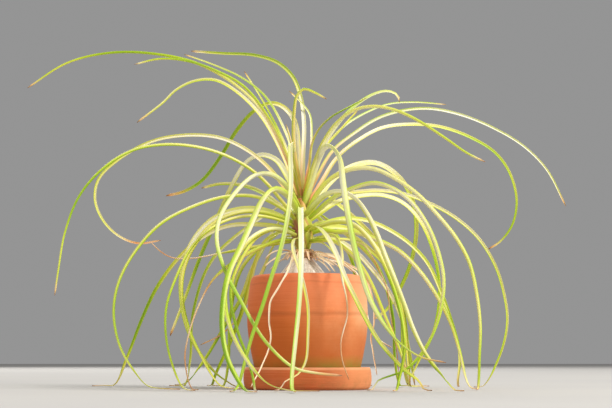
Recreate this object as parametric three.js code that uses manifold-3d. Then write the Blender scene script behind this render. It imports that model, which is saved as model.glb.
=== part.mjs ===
// Potted ponytail palm: a terracotta pot in its saucer, soil, a swollen stem base and
// a crown of long arching leaves. Millimetres, +Z up, and the origin is the middle of
// the saucer's underside. The picture's viewer stands at -Y and sees +X to the right.
import * as THREE from 'three';
import { mergeVertices } from 'three/addons/utils/BufferGeometryUtils.js';
import Module from 'manifold-3d';

const wasm = await Module();
wasm.setup();

// Driving dimensions
const seatGap = 0.3; // air between pieces that rest on each other
const roundSides = 48; // sides of everything turned on the pot's axis

const saucerFloor = 5;
const saucerHeight = 19;
// Section of the saucer, [radius, height], round its foot, wall, lip and floor
const saucerSection = [
  [0, 0], [51.5, 0], [54.5, 2.6], [55.5, 8], [54.9, 16], [53.7, saucerHeight],
  [52.4, saucerHeight], [50.6, 17], [50, 8], [47.4, saucerFloor], [0, saucerFloor],
];

const potHeight = 93;
const potWall = 6;
const potFloor = 7;
const potDrainRadius = 6;
const potFoot = saucerFloor + seatGap; // height of the pot's underside
// Outside of the pot, [radius, height over its foot], from the foot to the rim's crest
const potOutline = [
  [41.5, 0], [43, 1.6], [45.8, 12], [48.6, 25], [51, 38], [52.3, 50], [52.5, 58],
  [52, 70], [50.9, 80], [49.8, 86.6], [48.8, 90.2], [47, 92.3], [43.6, potHeight],
];
// Inner edge of the rim, from its crest down to the inner wall
const potRimInside = [[41.6, potHeight - 0.8], [40.6, potHeight - 3.6]];
const potInsideTop = potHeight - 5; // the inner wall follows the outside up to here
const potInsideCove = 2.6; // round between the inner wall and the floor

const soilTop = 85;
const soilMound = 2.5; // rise of the soil round the stem base
const soilMoundStart = 0.7; // share of the soil's radius where it has risen

const stemX = -4; // the plant stands a little left of the pot's axis
const stemSides = 36;
const neckTop = 120;
const neckRadius = 6;
// Swollen stem base, [radius, height], from its underside in the soil to the neck
const caudexOutline = [
  [0, 70], [10, 70.6], [18, 75], [23, 82], [24, 88], [22.8, 94], [19.4, 100],
  [16.5, 104], [12, 109], [8.6, 113], [6.6, 116], [neckRadius, 118], [neckRadius, neckTop],
  [0, neckTop],
];
const wrinkleDepth = 0.035; // share of the radius, on the bark above the soil
const wrinkleRise = [89, 97]; // heights over which the wrinkles begin
const wrinkleFade = [112, 116]; // and end
// Waves of the wrinkles: [share, waves round the stem, turn in radians for each millimetre]
const wrinkleWaves = [[1, 9, 0.12], [0.6, 4, -0.2]];

const coreLow = new THREE.Vector3(stemX, 0, neckTop + seatGap);
const coreTop = new THREE.Vector3(-5.5, 0, 174);
// The leaf bases that wrap the young stem, [radius, height over the neck]
const coreOutline = [
  [0, 0], [5.8, 0], [7.4, 4], [9, 9], [9.8, 15], [9.2, 22], [7.4, 30], [5, 39],
  [2.6, 48], [0, coreTop.z - coreLow.z],
];
const coreSides = 12;

const eyeDistance = 1300; // from the picture's eye to the upright plane through the axis
const eyeHeight = 25; // of the picture's eye over the surface
const surfaceLift = 1.3; // height of a leaf's middle where it lies on the surface
const lowestVertex = 0.3;
const depthEase = 1.7; // a leaf runs most into depth near its root

const stepLength = 30; // of a straight leaf blade between two of its sections
const stepBend = 0.4; // radians of bend that need one more section
const fineSteps = 160; // of a route, to find where its sections go
const leastSteps = 4;
const mostSteps = 21;
const keelShare = 0.26; // keel depth for each millimetre of blade width
const leastKeel = 0.8;
const faceRise = 0.4; // share of the keel's depth by which the upper face is over the route
const tipShare = 0.5; // width at the tip, as a share of the full width
const taperEase = 2;
const witheredShare = 0.5; // width of a blade where it has died back
const witherLength = 0.12; // share of the length over which it shrivels
const rootFlare = 0.15; // extra width at the root
const flareEnd = 0.22; // share of the length where the root's flare ends
const headingPoint = 3; // place in its route that gives the way a blade faces
const viewWay = new THREE.Vector3(0, 1, 0); // in which the picture's viewer looks
const facing = 0.93; // share of the turn that shows the viewer a blade's full width
const facingLength = 14; // over which a blade turns that way
const rollSpread = 0.6; // radians between the blades' own turns
const rollSettled = 0.25; // share of the length where a blade has its full roll
const twistSpread = 0.7;
const twistMiddle = 0.3; // share of the length where the twist is nil
const flatBelow = 2; // a blade that ends on the surface lies flat below this height
const freeAbove = 24; // and rolls freely above this one
const runBend = 0.4; // share of a run where the leaf's end comes to lie
const runLift = 0.6; // height over its middle's lowest place there
const golden = 0.618034;

// Living leaves: [height of the root on the core, width, deep, route, run on the surface].
// A route is [across, up] on the upright plane through the pot's axis, as the picture's
// eye sees it, from the root outwards. Deep is how far the tip lies behind that plane.
// A point with a third number states its own distance behind the plane. A run is the
// [x, y] by which the leaf's end goes on along the surface that the pot stands on.
const leaves = [
  // High arches to the left
  [160, 3.1, -22, [[-19, 203], [-38, 240], [-63, 266], [-98, 286], [-140, 295], [-178, 295],
    [-213, 286], [-247, 264]]],
  [158, 3.7, 42, [[-21, 203], [-41, 239], [-63, 261], [-82, 271], [-100, 270], [-116, 262],
    [-127, 251], [-150, 233]]],
  [162, 3.1, -60, [[-18, 203], [-35, 238], [-56, 265], [-80, 279], [-106, 288], [-130, 290],
    [-153, 285]]],
  [164, 2.7, 80, [[-10, 195], [-20, 226], [-37, 256], [-58, 273], [-84, 285], [-109, 294]]],
  [164, 2.6, 105, [[-13, 196], [-25, 225], [-41, 255], [-56, 279]]],
  [165, 4.3, 130, [[-4, 200], [-3, 232], [-6, 256], [-13, 274], [-27, 287], [-48, 293.5],
    [-75, 295], [-103, 297]]],
  [161, 5.6, 160, [[-8, 205], [-12, 235], [-22, 247], [-33, 250], [-47, 243], [-62, 226],
    [-76, 203], [-92, 182], [-108, 172], [-124, 168]]],
  [165, 3.6, -55, [[-12, 212], [-12, 240], [-9, 258], [-3, 263], [6, 260], [17, 254]]],
  [165, 2.9, 75, [[2, 200], [3.5, 222], [2, 240], [-4, 249], [-16, 261]]],
  [163, 2.6, -30, [[-12, 200], [-15, 218], [-19, 232]]],
  // Middle left
  [150, 3.4, 60, [[-22, 178], [-35, 194], [-52, 208], [-75, 219], [-102, 222], [-135, 217],
    [-165, 201], [-183, 183], [-186, 165], [-179, 147], [-165, 133], [-148, 126.5],
    [-128, 129]]],
  [138, 2.9, -75, [[-22, 163], [-45, 188], [-72, 204], [-100, 212], [-128, 213.5], [-155, 208],
    [-180, 192], [-200, 168], [-212, 136], [-217, 105], [-220, 81]]],
  [158, 5.4, 180, [[-17, 184], [-28, 200], [-41, 204], [-53, 198], [-66, 177], [-78, 150],
    [-92, 118], [-106, 80], [-119, 46]]],
  [152, 4.5, -118, [[-18, 176], [-32, 187], [-46, 186], [-62, 172], [-76, 150], [-79, 130],
    [-72, 104], [-56, 73], [-36, 41], [-12, 19], [6, 14.5], [30, 12]]],
  [146, 5.7, -130, [[-17, 168], [-28, 174], [-38, 166], [-48, 146], [-58, 124], [-68, 102],
    [-73, 78], [-74, 52], [-69, 26], [-58, 5]], [14, -34]],
  [142, 4.8, 165, [[-25, 160], [-42, 172], [-60, 178], [-78, 178.5], [-93, 175]]],
  [140, 3.1, -45, [[-22, 157], [-45, 167.5], [-72, 167.5], [-100, 159], [-128, 144],
    [-150, 120], [-164, 94], [-168.5, 68], [-163, 38], [-149, 14], [-138, 3]], [28, -14]],
  [138, 4.6, 50, [[-20, 148], [-40, 156], [-62, 156], [-84, 147], [-101, 127], [-109, 104],
    [-110, 80], [-104, 52], [-93, 31], [-80, 15], [-68, 6]], [14, 8]],
  [137, 3.9, -20, [[-18, 146], [-38, 153.5], [-60, 153.5], [-82, 144], [-99, 124],
    [-108, 102], [-109, 80], [-103, 53], [-92, 29], [-76, 4]], [20, -14]],
  [136, 2.7, -80, [[-20, 145], [-42, 150.5], [-65, 148.5], [-86, 138.5], [-102, 122],
    [-114, 98], [-122.5, 72], [-123, 48], [-118, 24], [-110, 5]], [14, -26]],
  [133, 4, 95, [[-20, 140], [-45, 143], [-70, 141.5], [-92, 131.5], [-112, 114],
    [-131, 88], [-144, 60], [-156, 28], [-167, 4]], [-22, 10]],
  [130, 4.2, -122, [[-22, 138], [-36, 138], [-50, 130], [-62, 114], [-70, 94], [-71.5, 74],
    [-66, 50], [-54, 27], [-36, 6]], [42, -6]],
  [128, 3.3, 30, [[-20, 127], [-45, 123.5], [-75, 118], [-100, 113.5], [-118, 114],
    [-129, 120], [-138, 129]]],
  [127, 3.7, -60, [[-22, 129], [-45, 121], [-64, 110], [-82, 95], [-95, 71], [-103, 47],
    [-106, 28], [-103, 8]], [10, -22]],
  [146, 4.8, 150, [[-14, 156], [-21, 151], [-27, 141.5], [-32, 133], [-38.5, 122],
    [-44, 112], [-49, 102], [-57, 80], [-72, 54], [-88, 27], [-103, 7]], [-14, 12]],
  [129, 4.8, 140, [[-18, 132], [-28, 126], [-37, 106], [-48, 83], [-60, 62], [-75, 47],
    [-93, 38]]],
  [134, 3.8, -88, [[-24, 139], [-42, 133], [-56, 115], [-66, 90], [-65, 68], [-59, 46],
    [-52, 28], [-47, 10]], [4, -16]],
  // Falling in front of the pot
  [160, 4.3, 0, [[-9, 190, -12], [-12, 207, -28], [-14.5, 215, -45], [-15, 203, -60],
    [-14.5, 175, -75], [-18, 146, -86], [-24, 119, -94], [-31, 98, -99], [-39, 72, -104],
    [-48, 46, -108], [-54, 24, -111], [-59, 5, -114]], [-6, -28]],
  [146, 5, 0, [[-6, 152, -28], [-6, 158, -56], [-6, 149, -84], [-5.5, 122, -107],
    [-6, 98, -116], [-8, 68, -123], [-11, 38, -128], [-13.5, 12, -133], [-13.5, 1, -138]],
  [3, -30]],
  [127, 3.2, 0, [[-8, 131, -22], [-12, 129, -40], [-12.5, 121, -55], [-8, 107, -66],
    [-3, 90, -72], [0.5, 70, -76], [0.5, 48, -79], [-1.5, 24, -80], [-8, 13, -82],
    [-20, 6, -88]], [-8, -6]],
  [131, 4.4, 0, [[-1, 138, -10], [4, 141.5, -24], [11, 139, -38], [19, 129, -52],
    [26, 115, -62], [32, 99, -68], [40, 82, -73], [50, 62, -78], [61, 43, -83],
    [74, 27, -88], [86, 15, -93], [96, 7, -98]], [10, -8]],
  [127, 3.4, 0, [[6, 129, -8], [15, 132.5, -18], [23, 133, -28], [28, 126, -40],
    [30, 114, -50], [29.5, 103, -58], [31, 92, -64], [34, 78, -68], [34.5, 63, -70],
    [31, 50, -72], [29, 41, -74], [30, 26, -77], [36, 8, -82]]],
  [126, 2.8, 0, [[4, 127, -8], [12, 127, -16], [20, 121, -23], [26, 112, -27],
    [29, 105, -29]]],
  // High arches to the right
  [158, 3.4, -60, [[7, 200], [14, 216], [25, 232], [40, 243.5], [57, 247.5], [76, 244.5],
    [97, 235], [120, 220], [140, 206], [156, 198]]],
  [160, 4.5, 28, [[8, 200], [18, 219], [31, 237], [46, 251], [60, 259], [71, 261],
    [79, 257.5], [81, 251]]],
  [164, 2.3, -48, [[1, 190], [3.5, 212], [10, 227], [21, 238], [36, 246.5], [52, 255]]],
  [158, 2.7, 95, [[9, 195], [20, 217], [34, 231], [52, 242], [72, 249.5], [95, 251],
    [122, 249]]],
  [154, 2.9, 32, [[9, 186], [22, 208], [40, 223], [62, 237], [85, 244], [108, 245.5],
    [135, 240], [163, 228.5], [190, 212], [210, 191], [226, 159]]],
  [152, 3.6, 105, [[12, 180], [26, 202], [44, 217], [66, 228.5], [92, 231.5], [118, 229],
    [145, 219], [165, 206], [177, 189], [183, 165], [179, 143], [168, 128], [157, 121]]],
  // Middle right
  [152, 5.8, 0, [[9, 200, -16], [15, 211, -30], [22, 210, -46], [28, 200, -58],
    [31, 180, -70], [35, 154, -80], [40, 128, -89], [46, 104, -96], [54, 79, -102],
    [66, 57, -108], [80, 40, -114], [98, 28, -120], [120, 23, -127]]],
  [148, 5.7, 180, [[6, 160], [17, 177], [30, 189], [45, 196], [60, 197], [74, 190],
    [86, 177], [93, 159], [95, 138], [91, 113], [82, 90], [69, 69], [57, 60]]],
  [146, 4, -52, [[10, 172], [22, 184.5], [40, 192], [58, 192], [76, 184], [96, 170],
    [115, 150], [130, 131], [141, 110], [147, 84], [150, 55], [149, 28], [148, 8]],
  [-4, -16]],
  [140, 3.4, 40, [[10, 163], [22, 171], [40, 171.5], [60, 173], [82, 170.5], [105, 162.5],
    [130, 148.5], [150, 130], [164, 106], [171, 82], [173.5, 60], [169, 36], [156, 8]],
  [-12, 6]],
  [142, 3.9, -88, [[8, 154], [22, 166], [40, 175], [58, 179.5], [74, 175], [90, 163.5],
    [105, 142], [114, 119], [118.5, 94], [115, 66], [104, 39], [86, 18], [60, 7]], [-8, -4]],
  [140, 4.3, 78, [[10, 152], [26, 162.5], [46, 168], [66, 168.5], [84, 161.5], [99, 145],
    [109, 121], [114, 96], [113.5, 70], [107, 44], [97, 26], [86, 4]]],
  [146, 5.1, 0, [[4, 158, -14], [16, 169, -30], [30, 171.5, -46], [42, 165, -60],
    [53, 150, -72], [61, 133, -80], [68, 114, -87], [76, 94, -92], [84, 73, -97],
    [92, 51, -102], [103, 29, -107], [121, 6, -113]], [12, -10]],
  [136, 3.9, 62, [[12, 143], [30, 148], [50, 147], [70, 139], [90, 125.5], [105, 108.5],
    [115, 87], [124, 62], [131, 36], [131.5, 20], [130, 8]], [2, 10]],
  [134, 4, -100, [[10, 141], [24, 145], [38, 144], [51, 134], [62, 118], [71, 98],
    [78, 77], [83, 55], [84, 32], [79, 8]], [-6, -20]],
  [132, 4.5, 55, [[10, 139], [25, 141], [40, 138], [55, 130], [67, 116], [76, 96],
    [82, 74], [85.5, 50], [87, 28], [89, 3]]],
  [130, 4.2, -30, [[11, 137.5], [24, 136.5], [42, 136], [60, 130], [80, 120], [98, 102],
    [113, 80], [124, 58], [131, 36], [138, 7]], [8, -8]],
  [128, 4.6, 110, [[12, 131], [27, 128.5], [42, 119], [56, 104], [69, 87], [79, 68],
    [85, 48], [89, 28], [93, 3]]],
  [127, 3.9, -80, [[10, 129], [24, 127.5], [38, 117], [49, 103], [57, 88], [64, 71],
    [71, 54], [79, 36], [86, 14]]],
  [129, 2.8, 66, [[10, 128], [24, 130], [38, 129.5], [49, 125.5], [57, 114], [65, 98],
    [70, 84], [71.5, 66], [75, 47], [78, 28], [79, 7]]],
  // Between the others
  [163, 3, 60, [[10, 205], [20, 217], [30, 228], [37, 236], [45, 245]]],
  [131, 4.8, 120, [[-20, 136], [-28, 134], [-36, 129], [-41, 121], [-44.5, 112],
    [-47.5, 102], [-51, 88], [-58, 64], [-68, 38], [-80, 12]], [-8, 12]],
];

// Share of the length where a leaf has died back, by its place in the list above
const witheredFrom = { 22: 0.42, 23: 0.36, 25: 0.58, 29: 0.84, 31: 0.46, 39: 0.76, 52: 0.3 };

// Leaves that arch to the back, out of the picture's sight, spread by the golden ratio
const backLeafCount = 6;
const backLeafWidth = 4.2;
const backLeafRoll = 0.3;
const backHeadingLow = 64; // degrees from +X
const backHeadingSpread = 54;
const backMiddle = 90;
const backSwing = 26; // degrees that they swing aside from the middle as they fall
const backRootLow = 126;
const backRootStep = 4;
const backApexLow = 150;
const backApexStep = 5.5;
const backReach = [74, 70, 66]; // from the stem to the highest point, for leaves in turn
const backFoot = [118, 127, 136, 145]; // and to where the end meets the surface
// Rise from the root to the highest point, [share of the reach, share of the rise]
const backRise = [[0.3, 0.72], [0.62, 0.94], [1, 0.9]];
// Fall from there to the surface, [share of the way to the foot, share of the height]
const backFall = [[0.55, 0.72], [0.95, 0.42], [1, 0.16]];
const backRun = [8, 30]; // the end's way along the surface, beyond the foot

// Dead leaves, [height of the root in the collar, width, route with every distance stated]
const dryLeaves = [
  // Long ones that hang over the rim
  [116.5, 1.8, [[-12, 115, -12], [-15, 108, -30], [-18, 100.5, -48], [-24, 90, -57],
    [-31.4, 77.5, -58], [-32.9, 72, -58], [-33.2, 58, -57], [-31.8, 46, -57],
    [-32.4, 39, -57], [-36.5, 27, -60], [-42, 15, -66], [-49, 2, -75]]],
  [116.5, 2, [[8, 117, 7], [22, 114, 12], [36, 108, 14], [48, 99.5, 14], [54.5, 86, 13],
    [57.5, 70, 12], [57.5, 56, 12], [55, 45, 14], [57, 30, 15], [60, 12, 16]]],
  [116, 2, [[8, 114, 15], [28, 109, 31], [42, 101, 39], [50, 84, 41], [52, 64, 39],
    [56, 50, 34], [63, 42, 29], [73, 36, 23]]],
  // Curls round the neck
  [118, 1.8, [[4.8, 118, -9], [8.3, 119.2, -14], [12.7, 118.2, -17], [17, 116.2, -18],
    [18.8, 112, -18]]],
  [117, 1.8, [[6, 116.5, -9], [11.8, 115, -14], [16.2, 112, -17], [24, 106.6, -19]]],
  [116.5, 1.8, [[7, 115.5, -8], [11.8, 113, -12], [18.8, 108.5, -15], [24.5, 101, -15]]],
  [116, 1.8, [[5, 113.6, -11], [10.9, 110.7, -17], [15.3, 107.6, -21], [20.6, 101, -24]]],
  [118, 2.2, [[8, 117.5, -8], [20, 116.5, -14], [31, 110.5, -18], [37, 106, -19],
    [42, 100.8, -19]]],
  [117, 1.8, [[9, 116, -3], [20, 114, -7], [32.4, 107.6, -9], [39.4, 101.4, -9]]],
  [115.5, 1.8, [[9, 114, 3], [19, 111.5, 5], [27, 106, 6], [31, 101.5, 6]]],
  [117, 2, [[-13, 117, -8], [-16.5, 118.2, -12], [-21, 117.4, -16], [-27, 114, -20],
    [-33, 110, -22], [-37.5, 106, -22]]],
  [118, 2, [[-12, 118.6, -3], [-18, 120.2, -6], [-23, 120.6, -9], [-29, 119, -12],
    [-34, 116, -14], [-37, 112.5, -14]]],
  [115.5, 1.8, [[-11, 113, -11], [-15, 108.5, -18], [-19, 102, -22]]],
  [116, 2, [[-14, 115, 8], [-24, 111, 16], [-33, 103, 20]]],
];

// Short dead leaf bases that ring the neck
const stubCount = 18;
const stubWidth = 2.2;
const stubRoot = 8; // distance of their roots from the stem's axis
const stubReachLow = 15;
const stubReachSpread = 8;
const stubRootHeight = 116.6;
const stubHigh = 118.8;
const stubBend = 0.4; // share of the reach where a stub is highest
const stubDrop = 4;
const stubDropSpread = 6;

// Section of the fibrous collar round the neck, [radius, height]
const collarInner = neckRadius + 2 * seatGap;
const collarSection = [
  [8.9, 113.4], [10, 114.2], [10.6, 116.8], [9.4, 120.6], [collarInner, 120.6],
  [collarInner, 117.4], [8.9, 113.4],
];
const collarSides = 24;

function material(colour, roughness) {
  return new THREE.MeshStandardMaterial({ color: colour, roughness, metalness: 0 });
}

function toSolid(geometry) {
  geometry.deleteAttribute('normal');
  geometry.deleteAttribute('uv');
  const merged = mergeVertices(geometry, 1e-4);
  return new wasm.Manifold(new wasm.Mesh({
    numProp: 3,
    vertProperties: Float32Array.from(merged.attributes.position.array),
    triVerts: Uint32Array.from(merged.index.array),
  }));
}

function toGeometry(solid) {
  const mesh = solid.getMesh();
  const geometry = new THREE.BufferGeometry();
  geometry.setAttribute('position', new THREE.BufferAttribute(mesh.vertProperties, 3));
  geometry.setIndex(new THREE.BufferAttribute(mesh.triVerts, 1));
  return geometry;
}

function fuse(geometries) {
  const joined = geometries.map(toSolid).reduce((whole, next) => whole.add(next));
  const bodies = joined.decompose().sort((a, b) => b.volume() - a.volume());
  return toGeometry(bodies[0]);
}

// A solid turned about +Z from [radius, height] points
function turned(outline, sides) {
  const profile = outline.map(([radius, height]) => new THREE.Vector2(radius, height));
  return new THREE.LatheGeometry(profile, sides).rotateX(Math.PI / 2);
}

function shape(name, geometry, colour, roughness) {
  geometry.computeVertexNormals();
  const mesh = new THREE.Mesh(geometry, material(colour, roughness));
  mesh.name = name;
  return mesh;
}

function saucer() {
  return shape('saucer', turned(saucerSection, roundSides), 0xc9682f, 0.85);
}

// The pot's inner face, [radius, height over the foot], from the floor to under the rim
function potInside() {
  const wall = potOutline
    .filter(([, height]) => height > potFloor && height < potInsideTop)
    .map(([radius, height]) => [radius - potWall, height]);
  return [[wall[0][0] - potInsideCove, potFloor], ...wall];
}

function pot() {
  const section = [
    [potDrainRadius, 0],
    ...potOutline,
    ...potRimInside,
    ...potInside().reverse(),
    [potDrainRadius, potFloor],
    [potDrainRadius, 0],
  ];
  const mesh = shape('pot', turned(section, roundSides), 0xd9793f, 0.8);
  mesh.position.z = potFoot;
  return mesh;
}

// The swollen base, with upright wrinkles in the bark that shows over the soil
function caudexGeometry() {
  const geometry = turned(caudexOutline, stemSides);
  const place = geometry.attributes.position;
  for (let i = 0; i < place.count; i += 1) {
    const [x, y, z] = [place.getX(i), place.getY(i), place.getZ(i)];
    const angle = Math.atan2(y, x);
    const fade = THREE.MathUtils.smoothstep(z, ...wrinkleRise)
      * (1 - THREE.MathUtils.smoothstep(z, ...wrinkleFade));
    const wave = wrinkleWaves.reduce((sum, [share, waves, turn]) => (
      sum + share * Math.sin(waves * angle + turn * z)
    ), 0);
    const scale = 1 + wrinkleDepth * fade * wave;
    place.setXY(i, x * scale, y * scale);
  }
  return geometry.translate(stemX, 0, 0);
}

// Radius of an outline at a height, between its [radius, height] points
function radiusAt(outline, height) {
  const above = outline.findIndex(([, level]) => level >= height);
  const [[lowRadius, low], [highRadius, high]] = [outline[above - 1], outline[above]];
  return THREE.MathUtils.mapLinear(height, low, high, lowRadius, highRadius);
}

// Soil fills the pot, with a hole that the swollen base stands in
function soil() {
  const inside = potInside();
  const topHeight = soilTop - potFoot;
  const [[floorRadius], ...walls] = inside;
  const wall = [...walls.filter(([, height]) => height < topHeight),
    [radiusAt(inside, topHeight), topHeight]];
  const bedFloor = potFoot + potFloor + seatGap;
  const bed = turned([
    [0, bedFloor],
    [floorRadius - 2 * seatGap, bedFloor],
    ...wall.map(([radius, height]) => [radius - seatGap, height + potFoot]),
    [wall[wall.length - 1][0] * soilMoundStart, soilTop + soilMound],
    [0, soilTop + soilMound],
  ], roundSides);
  const hole = caudexOutline.map(([radius, height]) => [
    radius === 0 ? 0 : radius + seatGap,
    height === caudexOutline[0][1] ? height - seatGap : height,
  ]);
  const plug = turned(hole, stemSides).translate(stemX, 0, 0);
  return shape('soil', toGeometry(toSolid(bed).subtract(toSolid(plug))), 0x3b2a20, 0.95);
}

// The turn nearest to nil that leaves a flat blade in the same plane
function halfTurnsOff(angle) {
  return angle - Math.PI * Math.round(angle / Math.PI);
}

// The blade's frame at even steps along its route. The side is carried along from the
// root, where the upper face looks to the stem, so the blade doesn't wring where it bends.
// The turn is the angle by which the blade comes round to show the viewer its full width.
function fineFrames(curve, heading) {
  const side = new THREE.Vector3(-heading.y, heading.x, 0);
  const length = curve.getLength() / fineSteps;
  let turn = 0;
  return Array.from({ length: fineSteps + 1 }, (_, i) => {
    const along = curve.getTangentAt(i / fineSteps);
    side.addScaledVector(along, -side.dot(along)).normalize();
    const up = along.clone().cross(side);
    const shown = along.clone().cross(viewWay);
    const wanted = Math.atan2(shown.dot(up), shown.dot(side));
    const settled = 1 - Math.exp((-length * shown.lengthSq()) / facingLength);
    turn += settled * halfTurnsOff(wanted - turn);
    return { share: i / fineSteps, along, side: side.clone(), up, turn };
  });
}

// Some of the fine frames, for a blade's sections, closer together where it bends
function sectionFrames(curve, frames, step) {
  const costs = [0];
  const straight = curve.getLength() / fineSteps / step;
  for (let i = 1; i <= fineSteps; i += 1) {
    const bend = frames[i].along.angleTo(frames[i - 1].along);
    costs.push(costs[i - 1] + straight + bend / stepBend);
  }
  const whole = costs[fineSteps];
  const steps = THREE.MathUtils.clamp(Math.round(whole), leastSteps, mostSteps);
  const picked = [];
  for (let k = 0; k <= steps; k += 1) {
    picked.push(frames[costs.findIndex((cost) => cost >= (whole * k) / steps - 1e-9)]);
  }
  return picked;
}

// A blade along a route: a flat upper face over a shallow keel, broad at its root
function blade(points, width, roll, twist, step, withered = Infinity) {
  const curve = new THREE.CatmullRomCurve3(points);
  const [root] = points;
  const ahead = points[Math.min(headingPoint, points.length - 1)];
  const heading = new THREE.Vector3(ahead.x - root.x, ahead.y - root.y, 0).normalize();
  const frames = fineFrames(curve, heading);
  const ownTurn = ({ share, turn }) => facing * turn + twist * (share - twistMiddle)
    + roll * THREE.MathUtils.smoothstep(share, 0, rollSettled);
  const end = frames[fineSteps];
  const endTurn = ownTurn(end);
  // The turn that lays the end of a blade flat on the surface
  const level = endTurn + halfTurnsOff(-Math.atan2(end.side.z, end.up.z) - endTurn);
  const lyingEnd = points[points.length - 1].z < surfaceLift + flatBelow;
  const vertices = [];
  for (const frame of sectionFrames(curve, frames, step)) {
    const { share, along, side, up } = frame;
    const middle = curve.getPointAt(share);
    middle.z = Math.max(middle.z, surfaceLift);
    const free = lyingEnd ? THREE.MathUtils.smoothstep(middle.z, flatBelow, freeAbove) : 1;
    const turn = THREE.MathUtils.lerp(level, ownTurn(frame), free);
    side.applyAxisAngle(along, turn);
    up.applyAxisAngle(along, turn);
    const flare = 1 + rootFlare * Math.max(0, 1 - share / flareEnd);
    const taper = 1 - (1 - tipShare) * share ** taperEase;
    const dried = THREE.MathUtils.smoothstep(share, withered, withered + witherLength);
    const half = (width / 2) * flare * taper * (1 - (1 - witheredShare) * dried);
    const keel = Math.max(leastKeel, 2 * half * keelShare);
    for (const [across, high] of [[half, faceRise], [-half, faceRise], [0, faceRise - 1]]) {
      const corner = middle.clone().addScaledVector(side, across)
        .addScaledVector(up, high * keel);
      vertices.push(corner.x, corner.y, Math.max(corner.z, lowestVertex));
    }
  }
  // The upper and the lower faces are split the same way across
  const faces = [0, 2, 1];
  for (let a = 0; a < vertices.length / 3 - 3; a += 3) {
    faces.push(a, a + 1, a + 3, a + 1, a + 4, a + 3);
    faces.push(a + 1, a + 2, a + 5, a + 1, a + 5, a + 4);
    faces.push(a + 2, a, a + 3, a + 2, a + 3, a + 5);
  }
  const tip = vertices.length / 3 - 3;
  faces.push(tip, tip + 1, tip + 2);
  const geometry = new THREE.BufferGeometry();
  geometry.setAttribute('position', new THREE.Float32BufferAttribute(vertices, 3));
  geometry.setIndex(faces);
  return geometry;
}

// From what the picture's eye sees at [across, up] to the point that lies deep behind
function fromPicture(across, up, deep) {
  const near = (eyeDistance + deep) / eyeDistance;
  const height = eyeHeight + (up - eyeHeight) * near;
  return new THREE.Vector3(across * near, deep, Math.max(height, surfaceLift));
}

function coreAt(height) {
  const share = (height - coreLow.z) / (coreTop.z - coreLow.z);
  return coreLow.clone().lerp(coreTop, share);
}

function leafPoints([base, , deep, seen, run]) {
  const root = coreAt(base);
  const lengths = [0];
  let [lastAcross, lastUp] = [root.x, root.z];
  for (const [across, up] of seen) {
    lengths.push(lengths[lengths.length - 1] + Math.hypot(across - lastAcross, up - lastUp));
    [lastAcross, lastUp] = [across, up];
  }
  const whole = lengths[lengths.length - 1];
  const points = seen.map(([across, up, stated], i) => {
    const eased = deep * (1 - (1 - lengths[i + 1] / whole) ** depthEase);
    return fromPicture(across, up, stated ?? eased);
  });
  if (run) {
    const last = points[points.length - 1];
    const along = new THREE.Vector3(run[0], run[1], 0);
    const lift = last.z > surfaceLift + runLift ? runLift : 0;
    points.push(last.clone().addScaledVector(along, runBend).setZ(surfaceLift + lift));
    points.push(last.clone().add(along).setZ(surfaceLift));
  }
  return [root, ...points];
}

function backLeafPoints(index) {
  const spread = (index * golden) % 1;
  const rising = backHeadingLow + backHeadingSpread * spread;
  const falling = rising + backSwing * Math.sign(rising - backMiddle);
  const base = backRootLow + backRootStep * index;
  const apex = backApexLow + backApexStep * index;
  const reach = backReach[index % backReach.length];
  const foot = backFoot[index % backFoot.length];
  const root = coreAt(base);
  const at = (far, height, heading) => {
    const turn = THREE.MathUtils.degToRad(heading);
    return new THREE.Vector3(root.x + far * Math.cos(turn), far * Math.sin(turn), height);
  };
  return [
    root,
    ...backRise.map(([out, up]) => at(out * reach, base + up * (apex - base), rising)),
    ...backFall.map(([out, up]) => at(reach + out * (foot - reach), up * apex, falling)),
    ...backRun.map((run) => at(foot + run, surfaceLift, falling)),
  ];
}

function leafCrown() {
  const lean = (coreTop.x - coreLow.x) / (coreTop.z - coreLow.z);
  const core = turned(coreOutline, coreSides)
    .applyMatrix4(new THREE.Matrix4().makeShear(0, 0, 0, 0, lean, 0))
    .translate(coreLow.x, coreLow.y, coreLow.z);
  const blades = leaves.map((leaf, k) => {
    const roll = rollSpread * ((k * golden) % 1 - 0.5);
    const twist = twistSpread * (((k + 1) * golden * golden) % 1 - 0.5);
    return blade(leafPoints(leaf), leaf[1], roll, twist, stepLength, witheredFrom[k]);
  });
  for (let k = 0; k < backLeafCount; k += 1) {
    blades.push(blade(backLeafPoints(k), backLeafWidth, backLeafRoll, 0, stepLength));
  }
  return shape('leaf_crown', fuse([core, ...blades]), 0xa9bf5c, 0.5);
}

function dryLeafPoints([base, , seen]) {
  const root = new THREE.Vector3(stemX, 0, base);
  const points = seen.map(([across, up, deep]) => fromPicture(across, up, deep));
  const out = points[0].clone().sub(root).setZ(0).setLength(stubRoot);
  return [root.add(out), ...points];
}

function stubPoints(index) {
  const spread = (index * golden) % 1;
  const heading = 2 * Math.PI * spread;
  const reach = stubReachLow + stubReachSpread * ((spread * golden) % 1);
  const at = (far, height) => new THREE.Vector3(
    stemX + far * Math.cos(heading), far * Math.sin(heading), height,
  );
  return [
    at(stubRoot, stubRootHeight),
    at(THREE.MathUtils.lerp(stubRoot, reach, stubBend), stubHigh),
    at(reach, stubHigh - stubDrop - stubDropSpread * spread),
  ];
}

function dryLeafNode() {
  const collar = turned(collarSection, collarSides).translate(stemX, 0, 0);
  const hanging = dryLeaves.map((leaf) => (
    blade(dryLeafPoints(leaf), leaf[1], 0, 0, stepLength / 2)
  ));
  const stubs = Array.from({ length: stubCount }, (_, k) => (
    blade(stubPoints(k), stubWidth, 0, 0, stepLength)
  ));
  return shape('dry_leaves', fuse([collar, ...hanging, ...stubs]), 0xcfa873, 0.8);
}

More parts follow.
